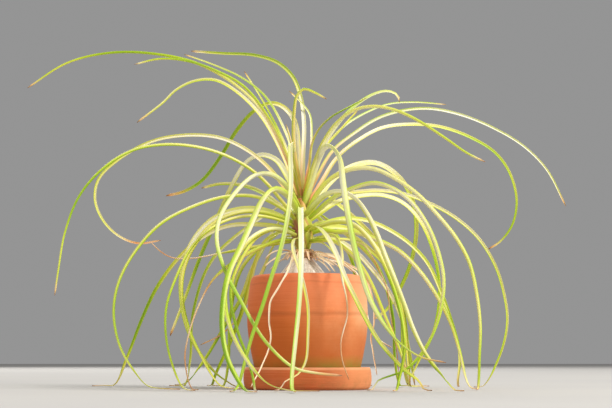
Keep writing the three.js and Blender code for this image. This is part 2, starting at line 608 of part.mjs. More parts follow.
const plant = new THREE.Group();
plant.add(
  saucer(),
  pot(),
  soil(),
  shape('caudex', caudexGeometry(), 0xa39483, 0.9),
  leafCrown(),
  dryLeafNode(),
);

export default plant;
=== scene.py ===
import itertools
import math
import random

import bpy
import numpy as np
from mathutils import Matrix, Vector, noise


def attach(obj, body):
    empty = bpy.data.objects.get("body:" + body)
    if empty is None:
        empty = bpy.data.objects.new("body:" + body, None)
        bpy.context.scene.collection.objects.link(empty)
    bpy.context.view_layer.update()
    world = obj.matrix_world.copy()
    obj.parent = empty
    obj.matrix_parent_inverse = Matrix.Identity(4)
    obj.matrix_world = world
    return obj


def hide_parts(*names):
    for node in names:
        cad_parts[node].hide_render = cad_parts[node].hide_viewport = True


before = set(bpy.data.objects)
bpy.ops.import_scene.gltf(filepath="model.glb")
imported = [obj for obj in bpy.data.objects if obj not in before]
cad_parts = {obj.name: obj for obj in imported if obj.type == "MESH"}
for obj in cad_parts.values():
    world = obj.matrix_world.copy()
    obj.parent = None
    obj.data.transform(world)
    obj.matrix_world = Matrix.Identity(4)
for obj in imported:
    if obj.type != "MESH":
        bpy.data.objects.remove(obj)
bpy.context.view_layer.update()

# Sizes are in millimetres here, and finished meshes are in metres
MM = 0.001

# The picture's view: an eye 1.3 m in front of the pot's axis, a little over the surface
EYE_DISTANCE = 1300.0
EYE_HEIGHT = 25.0
AIM = (-1.3, 0.0, 161.0)
FIELD_WIDTH = 535.5
SENSOR = 36.0
CLIP = (0.05, 60.0)

# Pot, saucer, soil and stem base, as the solids have them
SEAT_GAP = 0.3
SAUCER_UNDER = [(0, 0), (30, 0), (51.3, 0), (51.5, 0), (53.2, 0.9)]
SAUCER_WALL = [
    (54.5, 2.6), (55.5, 8), (54.9, 16), (53.7, 19), (52.4, 19), (50.6, 17), (50, 8),
]
SAUCER_FLOOR = [(49.2, 6.2), (47.4, 5), (30, 5), (0, 5)]
POT_FOOT = 5.3
POT_FLOOR = 7.0
POT_DRAIN = 6.0
POT_OUTLINE = [
    (41.5, 0), (43, 1.6), (45.8, 12), (48.6, 25), (51, 38), (52.3, 50), (52.5, 58),
    (52, 70), (50.9, 80), (49.8, 86.6), (48.8, 90.2), (47, 92.3), (43.6, 93),
]
POT_INSIDE = [
    (41.6, 92.2), (40.6, 89.4), (43.8, 86.6), (44.9, 80), (46, 70), (46.5, 58), (46.3, 50),
    (45, 38), (42.6, 25), (39.8, 12), (37.2, POT_FLOOR),
]
SOIL_TOP = 85.0
SOIL_EDGE = 44.3
STEM_X = -4.0
STEM_FOOT = 70.0
NECK_RADIUS = 6.0
NECK_TOP = 120.0
STEM_SIDE = [
    (10, 70.6), (18, 75), (23, 82), (24, 88), (22.8, 94), (19.4, 100), (16.5, 104),
    (12, 109), (8.6, 113), (6.6, 116), (NECK_RADIUS, 118), (NECK_RADIUS, NECK_TOP),
]
WRINKLE_DEPTH = 0.035
# Share, waves in a round and turn for each millimetre up
WRINKLE_WAVES = [(1, 9, 0.12), (0.6, 4, -0.2)]
WRINKLE_START = (89, 97)
WRINKLE_STOP = (112, 116)
CORE_LOW = np.array([STEM_X, 0.0, NECK_TOP + SEAT_GAP])
CORE_TOP = np.array([-5.5, 0.0, 174.0])
CORE_SIDE = [
    (5.8, 0), (7.4, 4), (9, 9), (9.8, 15), (9.2, 22), (7.4, 30), (5, 39), (2.6, 48),
]

# Fine relief of the turned pieces, which the solids don't have. Throwing rings have waves
# (share, turn for each millimetre up, start, sway, sways in a round) and, on each piece, a
# depth, a least radius and a least height.
RING_WAVES = [(1, 2.1, 0, 0.6, 1), (0.6, 4.7, 1.3, 1, 2)]
POT_RINGS = (0.12, 41.0, POT_FOOT + 1)
SAUCER_RINGS = (0.1, 52.8, 2.0)
CLAY_SIDES = 160
BARK_START = (86, 92)
BARK_SIDES = 256
STREAK_DEPTH = 0.35
GRAIN_DEPTH = 0.22
SOIL_SIDES = 120
SOIL_ROWS = 26
SOIL_SINK = 1.4
SOIL_MOUND = 1.3
SOIL_ROUGH = 1.1
MOUND_FALL = (26, 45)
LUMP_REACH = 42.5
LUMP_CLEARANCE = 24.5
WRAP_TURNS = 5
WRAP_RISE = 21.0
WRAP_DEPTH = 0.9
CORE_SIDES = 144
COLLAR_SIDES = 96
COLLAR_RIBS = 23
COLLAR_RIB_DEPTH = 0.25

# Blades of the leaves, as the solids have them
SURFACE_LIFT = 1.3
LOWEST_VERTEX = 0.3
DEPTH_EASE = 1.7
KEEL_SHARE = 0.26
LEAST_KEEL = 0.8
TIP_SHARE = 0.5
TAPER_EASE = 2.0
WITHERED_SHARE = 0.5
WITHER_LENGTH = 0.12
ROOT_FLARE = 0.15
FLARE_END = 0.22
HEADING_POINT = 3
VIEW_WAY = np.array([0.0, 1.0, 0.0])
FACING = 0.93
FACING_LENGTH = 14.0
ROLL_SPREAD = 0.6
ROLL_SETTLED = 0.25
TWIST_SPREAD = 0.7
TWIST_MIDDLE = 0.3
FLAT_BELOW = 2.0
FREE_ABOVE = 24.0
RUN_BEND = 0.4
RUN_LIFT = 0.6
POINT_START = 0.985
POINT_NARROWING = 0.75
RIPPLE_TURN = 0.35
LEAF_STEP = 4.5
DRY_STEP = 1.8
STUB_STEP = 1.0
DRY_RIPPLE = 0.2
NEVER = 2.0  # a share past the end of a leaf
GOLDEN = 0.618034

# Living leaves: root height on the core, width, deep, route and run on the surface
LEAVES = [
    # High arches to the left
    [160, 3.1, -22, [[-19, 203], [-38, 240], [-63, 266], [-98, 286], [-140, 295], [-178, 295],
     [-213, 286], [-247, 264]]],
    [158, 3.7, 42, [[-21, 203], [-41, 239], [-63, 261], [-82, 271], [-100, 270], [-116, 262], [-127, 251],
     [-150, 233]]],
    [162, 3.1, -60, [[-18, 203], [-35, 238], [-56, 265], [-80, 279], [-106, 288], [-130, 290],
     [-153, 285]]],
    [164, 2.7, 80, [[-10, 195], [-20, 226], [-37, 256], [-58, 273], [-84, 285], [-109, 294]]],
    [164, 2.6, 105, [[-13, 196], [-25, 225], [-41, 255], [-56, 279]]],
    [165, 4.3, 130, [[-4, 200], [-3, 232], [-6, 256], [-13, 274], [-27, 287], [-48, 293.5], [-75, 295],
     [-103, 297]]],
    [161, 5.6, 160, [[-8, 205], [-12, 235], [-22, 247], [-33, 250], [-47, 243], [-62, 226], [-76, 203],
     [-92, 182], [-108, 172], [-124, 168]]],
    [165, 3.6, -55, [[-12, 212], [-12, 240], [-9, 258], [-3, 263], [6, 260], [17, 254]]],
    [165, 2.9, 75, [[2, 200], [3.5, 222], [2, 240], [-4, 249], [-16, 261]]],
    [163, 2.6, -30, [[-12, 200], [-15, 218], [-19, 232]]],
    # Middle left
    [150, 3.4, 60, [[-22, 178], [-35, 194], [-52, 208], [-75, 219], [-102, 222], [-135, 217], [-165, 201],
     [-183, 183], [-186, 165], [-179, 147], [-165, 133], [-148, 126.5], [-128, 129]]],
    [138, 2.9, -75, [[-22, 163], [-45, 188], [-72, 204], [-100, 212], [-128, 213.5], [-155, 208],
     [-180, 192], [-200, 168], [-212, 136], [-217, 105], [-220, 81]]],
    [158, 5.4, 180, [[-17, 184], [-28, 200], [-41, 204], [-53, 198], [-66, 177], [-78, 150], [-92, 118],
     [-106, 80], [-119, 46]]],
    [152, 4.5, -118, [[-18, 176], [-32, 187], [-46, 186], [-62, 172], [-76, 150], [-79, 130], [-72, 104],
     [-56, 73], [-36, 41], [-12, 19], [6, 14.5], [30, 12]]],
    [146, 5.7, -130, [[-17, 168], [-28, 174], [-38, 166], [-48, 146], [-58, 124], [-68, 102], [-73, 78],
     [-74, 52], [-69, 26], [-58, 5]], [14, -34]],
    [142, 4.8, 165, [[-25, 160], [-42, 172], [-60, 178], [-78, 178.5], [-93, 175]]],
    [140, 3.1, -45, [[-22, 157], [-45, 167.5], [-72, 167.5], [-100, 159], [-128, 144], [-150, 120],
     [-164, 94], [-168.5, 68], [-163, 38], [-149, 14], [-138, 3]], [28, -14]],
    [138, 4.6, 50, [[-20, 148], [-40, 156], [-62, 156], [-84, 147], [-101, 127], [-109, 104], [-110, 80],
     [-104, 52], [-93, 31], [-80, 15], [-68, 6]], [14, 8]],
    [137, 3.9, -20, [[-18, 146], [-38, 153.5], [-60, 153.5], [-82, 144], [-99, 124], [-108, 102],
     [-109, 80], [-103, 53], [-92, 29], [-76, 4]], [20, -14]],
    [136, 2.7, -80, [[-20, 145], [-42, 150.5], [-65, 148.5], [-86, 138.5], [-102, 122], [-114, 98],
     [-122.5, 72], [-123, 48], [-118, 24], [-110, 5]], [14, -26]],
    [133, 4, 95, [[-20, 140], [-45, 143], [-70, 141.5], [-92, 131.5], [-112, 114], [-131, 88], [-144, 60],
     [-156, 28], [-167, 4]], [-22, 10]],
    [130, 4.2, -122, [[-22, 138], [-36, 138], [-50, 130], [-62, 114], [-70, 94], [-71.5, 74], [-66, 50],
     [-54, 27], [-36, 6]], [42, -6]],
    [128, 3.3, 30, [[-20, 127], [-45, 123.5], [-75, 118], [-100, 113.5], [-118, 114], [-129, 120],
     [-138, 129]]],
    [127, 3.7, -60, [[-22, 129], [-45, 121], [-64, 110], [-82, 95], [-95, 71], [-103, 47], [-106, 28],
     [-103, 8]], [10, -22]],
    [146, 4.8, 150, [[-14, 156], [-21, 151], [-27, 141.5], [-32, 133], [-38.5, 122], [-44, 112],
     [-49, 102], [-57, 80], [-72, 54], [-88, 27], [-103, 7]], [-14, 12]],
    [129, 4.8, 140, [[-18, 132], [-28, 126], [-37, 106], [-48, 83], [-60, 62], [-75, 47], [-93, 38]]],
    [134, 3.8, -88, [[-24, 139], [-42, 133], [-56, 115], [-66, 90], [-65, 68], [-59, 46], [-52, 28],
     [-47, 10]], [4, -16]],
    # Falling in front of the pot
    [160, 4.3, 0, [[-9, 190, -12], [-12, 207, -28], [-14.5, 215, -45], [-15, 203, -60], [-14.5, 175, -75],
     [-18, 146, -86], [-24, 119, -94], [-31, 98, -99], [-39, 72, -104], [-48, 46, -108], [-54, 24, -111],
     [-59, 5, -114]], [-6, -28]],
    [146, 5, 0, [[-6, 152, -28], [-6, 158, -56], [-6, 149, -84], [-5.5, 122, -107], [-6, 98, -116],
     [-8, 68, -123], [-11, 38, -128], [-13.5, 12, -133], [-13.5, 1, -138]], [3, -30]],
    [127, 3.2, 0, [[-8, 131, -22], [-12, 129, -40], [-12.5, 121, -55], [-8, 107, -66], [-3, 90, -72],
     [0.5, 70, -76], [0.5, 48, -79], [-1.5, 24, -80], [-8, 13, -82], [-20, 6, -88]], [-8, -6]],
    [131, 4.4, 0, [[-1, 138, -10], [4, 141.5, -24], [11, 139, -38], [19, 129, -52], [26, 115, -62],
     [32, 99, -68], [40, 82, -73], [50, 62, -78], [61, 43, -83], [74, 27, -88], [86, 15, -93],
     [96, 7, -98]], [10, -8]],
    [127, 3.4, 0, [[6, 129, -8], [15, 132.5, -18], [23, 133, -28], [28, 126, -40], [30, 114, -50],
     [29.5, 103, -58], [31, 92, -64], [34, 78, -68], [34.5, 63, -70], [31, 50, -72], [29, 41, -74],
     [30, 26, -77], [36, 8, -82]]],
    [126, 2.8, 0, [[4, 127, -8], [12, 127, -16], [20, 121, -23], [26, 112, -27], [29, 105, -29]]],
    # High arches to the right
    [158, 3.4, -60, [[7, 200], [14, 216], [25, 232], [40, 243.5], [57, 247.5], [76, 244.5], [97, 235],
     [120, 220], [140, 206], [156, 198]]],
    [160, 4.5, 28, [[8, 200], [18, 219], [31, 237], [46, 251], [60, 259], [71, 261], [79, 257.5],
     [81, 251]]],
    [164, 2.3, -48, [[1, 190], [3.5, 212], [10, 227], [21, 238], [36, 246.5], [52, 255]]],
    [158, 2.7, 95, [[9, 195], [20, 217], [34, 231], [52, 242], [72, 249.5], [95, 251], [122, 249]]],
    [154, 2.9, 32, [[9, 186], [22, 208], [40, 223], [62, 237], [85, 244], [108, 245.5], [135, 240],
     [163, 228.5], [190, 212], [210, 191], [226, 159]]],
    [152, 3.6, 105, [[12, 180], [26, 202], [44, 217], [66, 228.5], [92, 231.5], [118, 229], [145, 219],
     [165, 206], [177, 189], [183, 165], [179, 143], [168, 128], [157, 121]]],
    # Middle right
    [152, 5.8, 0, [[9, 200, -16], [15, 211, -30], [22, 210, -46], [28, 200, -58], [31, 180, -70],
     [35, 154, -80], [40, 128, -89], [46, 104, -96], [54, 79, -102], [66, 57, -108], [80, 40, -114],
     [98, 28, -120], [120, 23, -127]]],
    [148, 5.7, 180, [[6, 160], [17, 177], [30, 189], [45, 196], [60, 197], [74, 190], [86, 177],
     [93, 159], [95, 138], [91, 113], [82, 90], [69, 69], [57, 60]]],
    [146, 4, -52, [[10, 172], [22, 184.5], [40, 192], [58, 192], [76, 184], [96, 170], [115, 150],
     [130, 131], [141, 110], [147, 84], [150, 55], [149, 28], [148, 8]], [-4, -16]],
    [140, 3.4, 40, [[10, 163], [22, 171], [40, 171.5], [60, 173], [82, 170.5], [105, 162.5], [130, 148.5],
     [150, 130], [164, 106], [171, 82], [173.5, 60], [169, 36], [156, 8]], [-12, 6]],
    [142, 3.9, -88, [[8, 154], [22, 166], [40, 175], [58, 179.5], [74, 175], [90, 163.5], [105, 142],
     [114, 119], [118.5, 94], [115, 66], [104, 39], [86, 18], [60, 7]], [-8, -4]],
    [140, 4.3, 78, [[10, 152], [26, 162.5], [46, 168], [66, 168.5], [84, 161.5], [99, 145], [109, 121],
     [114, 96], [113.5, 70], [107, 44], [97, 26], [86, 4]]],
    [146, 5.1, 0, [[4, 158, -14], [16, 169, -30], [30, 171.5, -46], [42, 165, -60], [53, 150, -72],
     [61, 133, -80], [68, 114, -87], [76, 94, -92], [84, 73, -97], [92, 51, -102], [103, 29, -107],
     [121, 6, -113]], [12, -10]],
    [136, 3.9, 62, [[12, 143], [30, 148], [50, 147], [70, 139], [90, 125.5], [105, 108.5], [115, 87],
     [124, 62], [131, 36], [131.5, 20], [130, 8]], [2, 10]],
    [134, 4, -100, [[10, 141], [24, 145], [38, 144], [51, 134], [62, 118], [71, 98], [78, 77], [83, 55],
     [84, 32], [79, 8]], [-6, -20]],
    [132, 4.5, 55, [[10, 139], [25, 141], [40, 138], [55, 130], [67, 116], [76, 96], [82, 74], [85.5, 50],
     [87, 28], [89, 3]]],
    [130, 4.2, -30, [[11, 137.5], [24, 136.5], [42, 136], [60, 130], [80, 120], [98, 102], [113, 80],
     [124, 58], [131, 36], [138, 7]], [8, -8]],
    [128, 4.6, 110, [[12, 131], [27, 128.5], [42, 119], [56, 104], [69, 87], [79, 68], [85, 48], [89, 28],
     [93, 3]]],
    [127, 3.9, -80, [[10, 129], [24, 127.5], [38, 117], [49, 103], [57, 88], [64, 71], [71, 54], [79, 36],
     [86, 14]]],
    [129, 2.8, 66, [[10, 128], [24, 130], [38, 129.5], [49, 125.5], [57, 114], [65, 98], [70, 84],
     [71.5, 66], [75, 47], [78, 28], [79, 7]]],
    # Between the others
    [163, 3, 60, [[10, 205], [20, 217], [30, 228], [37, 236], [45, 245]]],
    [131, 4.8, 120, [[-20, 136], [-28, 134], [-36, 129], [-41, 121], [-44.5, 112], [-47.5, 102],
     [-51, 88], [-58, 64], [-68, 38], [-80, 12]], [-8, 12]],
]

# Share of the length where a leaf has died back, by its place in the list above
WITHERED_FROM = {22: 0.42, 23: 0.36, 25: 0.58, 29: 0.84, 31: 0.46, 39: 0.76, 52: 0.3}

# Looks of each living leaf in per cent: how pale it is over its arch and on its way down,
# how pink its base is, where on its length the tip begins to dry, how pale it is before
# that, and how near its green is to mint. The paleness is partly the leaf's own tone and
# partly painted sunlight and sheen, most over the tops of the arches
LOOKS = [
    (90, 40, 90, 98, 65, 20), (85, 60, 90, 95, 60, 30), (70, 50, 50, 98, 70, 30),
    (85, 35, 20, 98, 50, 70), (95, 30, 15, 98, 50, 40), (100, 35, 60, 96, 40, 50),
    (100, 15, 20, 93, 10, 10), (70, 65, 50, 97, 60, 10), (85, 80, 100, 97, 80, 90),
    (100, 100, 70, 95, 90, 60), (92, 55, 60, 84, 40, 20), (75, 35, 20, 98, 80, 40),
    (85, 30, 0, 97, 50, 40), (92, 52, 10, 90, 80, 90), (90, 38, 0, 95, 20, 60),
    (45, 60, 20, 98, 60, 20), (80, 40, 10, 93, 90, 40), (90, 55, 0, 95, 60, 40),
    (70, 60, 0, 93, 60, 20), (72, 40, 10, 93, 60, 30), (80, 15, 10, 90, 60, 10),
    (95, 80, 0, 90, 95, 30), (80, 70, 10, 50, 70, 20), (70, 50, 10, 42, 50, 20),
    (75, 15, 0, 96, 30, 20), (55, 25, 10, 44, 20, 0), (65, 30, 0, 95, 20, 10),
    (80, 18, 20, 98, 25, 80), (80, 56, 0, 98, 30, 100), (92, 70, 0, 86, 70, 10),
    (95, 35, 0, 93, 40, 30), (100, 100, 0, 58, 80, 30), (100, 100, 0, 98, 100, 20),
    (90, 75, 10, 96, 60, 30), (80, 60, 30, 98, 70, 100), (85, 10, 70, 98, 40, 50),
    (70, 50, 50, 98, 65, 100), (65, 80, 70, 98, 80, 90), (85, 42, 80, 97, 12, 30),
    (100, 70, 10, 92, 40, 80), (97, 35, 0, 98, 30, 30), (97, 75, 10, 97, 50, 40),
    (80, 50, 20, 97, 50, 30), (90, 75, 0, 97, 40, 50), (75, 30, 10, 97, 35, 20),
    (100, 85, 0, 96, 40, 50), (65, 45, 10, 94, 50, 40), (90, 40, 0, 97, 30, 20),
    (85, 30, 0, 97, 30, 20), (85, 65, 0, 97, 85, 30), (100, 90, 0, 95, 30, 40),
    (90, 80, 0, 92, 60, 0), (85, 70, 20, 34, 70, 40), (100, 65, 20, 98, 60, 20),
    (65, 20, 10, 98, 10, 0),
]

# Leaves that arch to the back
BACK_COUNT = 6
BACK_WIDTH = 4.2
BACK_ROLL = 0.3
BACK_HEADING = (64.0, 54.0)
BACK_MIDDLE = 90.0
BACK_SWING = 26.0
BACK_ROOT = (126.0, 4.0)
BACK_APEX = (150.0, 5.5)
BACK_REACH = [74, 70, 66]
BACK_FOOT = [118, 127, 136, 145]
BACK_RISE = [(0.3, 0.72), (0.62, 0.94), (1, 0.9)]
BACK_FALL = [(0.55, 0.72), (0.95, 0.42), (1, 0.16)]
BACK_RUN = [8, 30]
BACK_PALE = (0.6, 0.3)
BACK_LOOK = (0.3, 0.1, 0.95, 0.6, 0.3)
BACK_SEED = 60

# Dead leaves, (root height in the collar, width, route with every distance stated)
DRY_LEAVES = [
    # Long ones that hang over the rim
    [116.5, 1.8, [[-12, 115, -12], [-15, 108, -30], [-18, 100.5, -48], [-24, 90, -57], [-31.4, 77.5, -58],
     [-32.9, 72, -58], [-33.2, 58, -57], [-31.8, 46, -57], [-32.4, 39, -57], [-36.5, 27, -60],
     [-42, 15, -66], [-49, 2, -75]]],
    [116.5, 2, [[8, 117, 7], [22, 114, 12], [36, 108, 14], [48, 99.5, 14], [54.5, 86, 13], [57.5, 70, 12],
     [57.5, 56, 12], [55, 45, 14], [57, 30, 15], [60, 12, 16]]],
    [116, 2, [[8, 114, 15], [28, 109, 31], [42, 101, 39], [50, 84, 41], [52, 64, 39], [56, 50, 34],
     [63, 42, 29], [73, 36, 23]]],
    # Curls round the neck
    [118, 1.8, [[4.8, 118, -9], [8.3, 119.2, -14], [12.7, 118.2, -17], [17, 116.2, -18],
     [18.8, 112, -18]]],
    [117, 1.8, [[6, 116.5, -9], [11.8, 115, -14], [16.2, 112, -17], [24, 106.6, -19]]],
    [116.5, 1.8, [[7, 115.5, -8], [11.8, 113, -12], [18.8, 108.5, -15], [24.5, 101, -15]]],
    [116, 1.8, [[5, 113.6, -11], [10.9, 110.7, -17], [15.3, 107.6, -21], [20.6, 101, -24]]],
    [118, 2.2, [[8, 117.5, -8], [20, 116.5, -14], [31, 110.5, -18], [37, 106, -19], [42, 100.8, -19]]],
    [117, 1.8, [[9, 116, -3], [20, 114, -7], [32.4, 107.6, -9], [39.4, 101.4, -9]]],
    [115.5, 1.8, [[9, 114, 3], [19, 111.5, 5], [27, 106, 6], [31, 101.5, 6]]],
    [117, 2, [[-13, 117, -8], [-16.5, 118.2, -12], [-21, 117.4, -16], [-27, 114, -20], [-33, 110, -22],
     [-37.5, 106, -22]]],
    [118, 2, [[-12, 118.6, -3], [-18, 120.2, -6], [-23, 120.6, -9], [-29, 119, -12], [-34, 116, -14],
     [-37, 112.5, -14]]],
    [115.5, 1.8, [[-11, 113, -11], [-15, 108.5, -18], [-19, 102, -22]]],
    [116, 2, [[-14, 115, 8], [-24, 111, 16], [-33, 103, 20]]],
]
STUB_COUNT = 18
STUB_WIDTH = 2.2
STUB_ROOT = 8.0
STUB_REACH = (15.0, 8.0)
STUB_ROOT_HEIGHT = 116.6
STUB_HIGH = 118.8
STUB_BEND = 0.4
STUB_DROP = (4.0, 6.0)
STUB_SEED = 20
COLLAR_SECTION = [
    (8.9, 113.4), (10, 114.2), (10.6, 116.8), (9.4, 120.6), (6.6, 120.6), (6.6, 117.4),
]


def smoothstep(value, low, high):
    """A share that eases from 0 at low to 1 at high."""
    share = np.clip((value - low) / (high - low), 0.0, 1.0)
    return share * share * (3 - 2 * share)


def srgb(*levels):
    """Linear colour of an sRGB one given from 0 to 255, or of several."""
    level = np.array(levels) / 255
    return np.where(level <= 0.04045, level / 12.92, ((level + 0.055) / 1.055) ** 2.4)


# Colours of the clay (base, dark, pale), of what lies on it, of the light painted on it, of the soil and
# of the bark
POT_CLAY = srgb((214, 104, 28), (184, 78, 14), (240, 146, 86))
# Pale bloom, partly real and partly painted light on the right side
POT_BLOOM_AND_LIGHT = srgb(244, 178, 126)
# Painted highlight on the pot's right side
POT_PAINTED_HIGHLIGHT = srgb(246, 210, 156)
POT_LOWER = srgb(188, 90, 2)
POT_SHOULDER = srgb(234, 128, 86)
POT_ALGAE = srgb(150, 138, 44)
SAUCER_CLAY = srgb((198, 94, 38), (166, 72, 24), (232, 150, 104))
# Painted light: the paler right side of the saucer
SAUCER_LIT_SIDE = srgb(238, 164, 108)
# Painted highlight on the saucer's rim
SAUCER_LIP_HIGHLIGHT = srgb(240, 172, 124)
SAUCER_ALGAE = srgb(136, 104, 44)
SOIL = srgb((34, 24, 18), (92, 68, 50))
CRUMB = srgb((38, 27, 20), (104, 76, 54))
PERLITE = srgb((206, 202, 192), (240, 238, 232))
BARK = srgb((208, 192, 174), (252, 246, 236))
BARK_WARM = srgb(228, 204, 180)
BARK_CRACK = srgb(128, 102, 80)
BARK_NECK = srgb(222, 170, 132)
FIBRE = srgb((150, 100, 62), (216, 170, 118))

# Faint lines round the pot: height, half width, share and colour
POT_LINES = [
    (64, 3.0, 0.32, srgb(160, 78, 30)),
    (90.5, 1.4, 0.25, srgb(176, 88, 50)),
]

# Colours of a living leaf, from its greenest to its palest, and the levels they stand for;
# the palest stand partly for painted sunlight and sheen. Some leaves are yellower and some
# are nearer to mint.
LEAF_LEVELS = [0.0, 0.3, 0.6, 1.0]
YELLOW_LEAF = srgb((130, 166, 4), (184, 202, 22), (228, 218, 98), (250, 240, 204))
MINT_LEAF = srgb((122, 168, 26), (171, 203, 74), (216, 222, 158), (246, 245, 234))
VEIN = (0.66, 0.74, 0.42)
GLOW_COLOUR = (1.0, 1.0, 0.35)
GLOW_DEPTH = 1.2
LEAF_SPOT = srgb(200, 150, 80)
# Green of the leaf base, partly its own and partly painted sunlight
BASE_GREEN_AND_SUN = srgb(206, 222, 58)
HEART = srgb(220, 104, 80)
# Dark crimson of the heart, partly red and partly painted shade
CRIMSON_AND_SHADE = srgb(138, 40, 50)
BLUSH = srgb(244, 178, 138)

# Colours of a dead leaf or tip
STRAW = srgb(255, 232, 204)
HUSK_RIM = srgb(246, 226, 204)
TAN = srgb(230, 160, 106)
RUST = srgb(180, 112, 66)
BROWN = srgb(140, 84, 50)
RUST_LEVELS = (0.6, 0.95)

# Where a leaf's looks change: distances from its root in millimetres, and shares of its
# length for its way down, its end, the loss of mint and the point of a dead leaf
CRIMSON_END = (7, 12)
DEEP_END = (10, 30)
HEART_END = (12, 60)
BASE_SUN_END = (24, 76)
PINK_END = (36, 112)
WAY_DOWN = (0.36, 0.66)
LEAF_END = (0.74, 0.92)
MINT_LOSS = (0.7, 1.0)
DRY_POINT = (0.92, 1.0)

# Where the leaf bases round the young stem turn pink or crimson, in millimetres; the crimson is partly
# painted shade, deepest on the left side
PINK_TOP = (150, 166)
CRIMSON_HEIGHT = 137
CRIMSON_REACH = 20
CRIMSON_SHADE_SIDE = (-2, 4)


# Meshes

def mesh_object(name, points, faces):
    mesh = bpy.data.meshes.new(name)
    points = (np.asarray(points, float) * MM).tolist()
    mesh.from_pydata(points, [], faces, shade_flat=False)
    mesh.update()
    piece = bpy.data.objects.new(name, mesh)
    bpy.context.scene.collection.objects.link(piece)
    return piece


def seat(piece, material, slot, *nodes):
    """The piece rides on the part, takes a finish and stands for the nodes named."""
    piece.data.materials.append(material)
    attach(piece, "root")
    if nodes:
        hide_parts(*nodes)


def colour_points(piece, tints, flat):
    """A tint and a place on the flat leaf for each point of the mesh."""
    mesh = piece.data
    tint = mesh.color_attributes.new("tint", "FLOAT_COLOR", "POINT")
    tint.data.foreach_set("color", np.hstack([tints, np.ones((len(tints), 1))]).ravel())
    corner = np.zeros(len(mesh.loops), int)
    mesh.loops.foreach_get("vertex_index", corner)
    layer = mesh.uv_layers.new(name="UVMap")
    layer.data.foreach_set("uv", np.asarray(flat)[corner].ravel())


def rounded(outline, step):
    """Points along a smooth line through an open outline's points."""
    pts = np.array(outline, float)
    ends = np.vstack([2 * pts[0] - pts[1], pts, 2 * pts[-1] - pts[-2]])
    out = []
    for i in range(1, len(ends) - 2):
        p0, p1, p2, p3 = ends[i - 1:i + 3]
        count = max(1, int(round(np.linalg.norm(p2 - p1) / step)))
        for k in range(count):
            w = k / count
            out.append(0.5 * (2 * p1 + (p2 - p0) * w + (2 * p0 - 5 * p1 + 4 * p2 - p3) * w * w
                              + (3 * p1 - p0 - 3 * p2 + p3) * w ** 3))
    return [tuple(p) for p in out] + [tuple(pts[-1])]


def spoke(angle, far, height, centre_x=0.0):
    """A place at a distance from an upright line, in the direction of an angle."""
    return centre_x + far * math.cos(angle), far * math.sin(angle), height


def turned(name, outline, sides, centre_x=0.0, shift=None):
    """A solid turned about +Z. An outline runs from axis to axis, or closes on itself."""
    on_axis = outline[0][0] < 1e-6
    rows = outline[1:-1] if on_axis else outline
    points = []
    for radius, height in rows:
        for k in range(sides):
            angle = 2 * math.pi * k / sides
            r, z = (radius, height) if shift is None else shift(radius, height, angle)
            points.append(spoke(angle, r, z, centre_x))
    faces = []
    count = len(rows)
    for i in range(count - 1 if on_axis else count):
        j = (i + 1) % count
        for k in range(sides):
            n = (k + 1) % sides
            faces.append((i * sides + k, i * sides + n, j * sides + n, j * sides + k))
    if on_axis:
        low, last = len(points), (count - 1) * sides
        points += [(centre_x, 0, outline[0][1]), (centre_x, 0, outline[-1][1])]
        for k in range(sides):
            n = (k + 1) % sides
            faces += [(low, n, k), (low + 1, last + k, last + n)]
    return mesh_object(name, points, faces)


# Node materials

class Paint:
    """One material, built as a chain of nodes round a Principled shader."""

    def __init__(self, name):
        self.material = bpy.data.materials.new(name)
        self.material.use_nodes = True
        self.tree = self.material.node_tree
        self.shader = self.tree.nodes["Principled BSDF"]
        self.place = self.tree.nodes.new("ShaderNodeTexCoord").outputs["Object"]

    def set(self, node, name, value):
        if isinstance(value, bpy.types.NodeSocket):
            self.tree.links.new(value, node.inputs[name])
        else:
            node.inputs[name].default_value = value

    def node(self, kind, output=0, options=None, **inputs):
        made = self.tree.nodes.new(kind)
        for key, value in (options or {}).items():
            setattr(made, key, value)
        for key, value in inputs.items():
            self.set(made, key.replace("_", " "), value)
        return made.outputs[output]

    def finish(self, colour, roughness, **inputs):
        inputs.update(Base_Color=colour, Roughness=roughness)
        for key, value in inputs.items():
            self.set(self.shader, key.replace("_", " "), value)
        return self.material

    def stretched(self, x, y, z, source=None):
        return self.node("ShaderNodeMapping", Vector=source or self.place, Scale=(x, y, z))

    def noise(self, scale, detail=4.0, rough=0.55, source=None):
        return self.node("ShaderNodeTexNoise", 0, Vector=source or self.place, Scale=scale,
                         Detail=detail, Roughness=rough)

    def math(self, operation, first, second=0.0):
        made = self.tree.nodes.new("ShaderNodeMath")
        made.operation = operation
        self.set(made, 0, first)
        self.set(made, 1, second)
        return made.outputs[0]

    def ramp(self, source, low, high, first=0.0, last=1.0):
        """A level that goes straight from first to last as the source goes from low to high."""
        made = self.tree.nodes.new("ShaderNodeValToRGB")
        for element, place, level in zip(made.color_ramp.elements, (low, high), (first, last)):
            element.position = place
            element.color = (level, level, level, 1)
        self.set(made, "Fac", source)
        return made.outputs["Color"]

    def along(self, axis):
        return self.node("ShaderNodeSeparateXYZ", axis, Vector=self.place)

    def band(self, low, high, first=0.0, last=1.0, level=None, ease="SMOOTHSTEP"):
        """A share that goes from first to last between two levels in millimetres, which
        are heights if no other level is given."""
        return self.node("ShaderNodeMapRange", 0, {"interpolation_type": ease},
                         Value=level or self.along("Z"), From_Min=low * MM,
                         From_Max=high * MM, To_Min=first, To_Max=last)

    def mix(self, share, first, second, blend="MIX"):
        made = self.tree.nodes.new("ShaderNodeMix")
        made.data_type = "RGBA"
        made.blend_type = blend
        self.set(made, 0, share)
        for index, value in ((6, first), (7, second)):
            linked = isinstance(value, bpy.types.NodeSocket)
            self.set(made, index, value if linked else (*value, 1))
        return made.outputs[2]

    def cover(self, colour, tone, mask, amount):
        """A tone laid over a colour by a mask times an amount or a second mask."""
        return self.mix(self.math("MULTIPLY", mask, amount), colour, tone)

    def bump(self, height, strength, distance):
        return self.node("ShaderNodeBump", 0, Height=height, Strength=strength,
                         Distance=distance * MM)


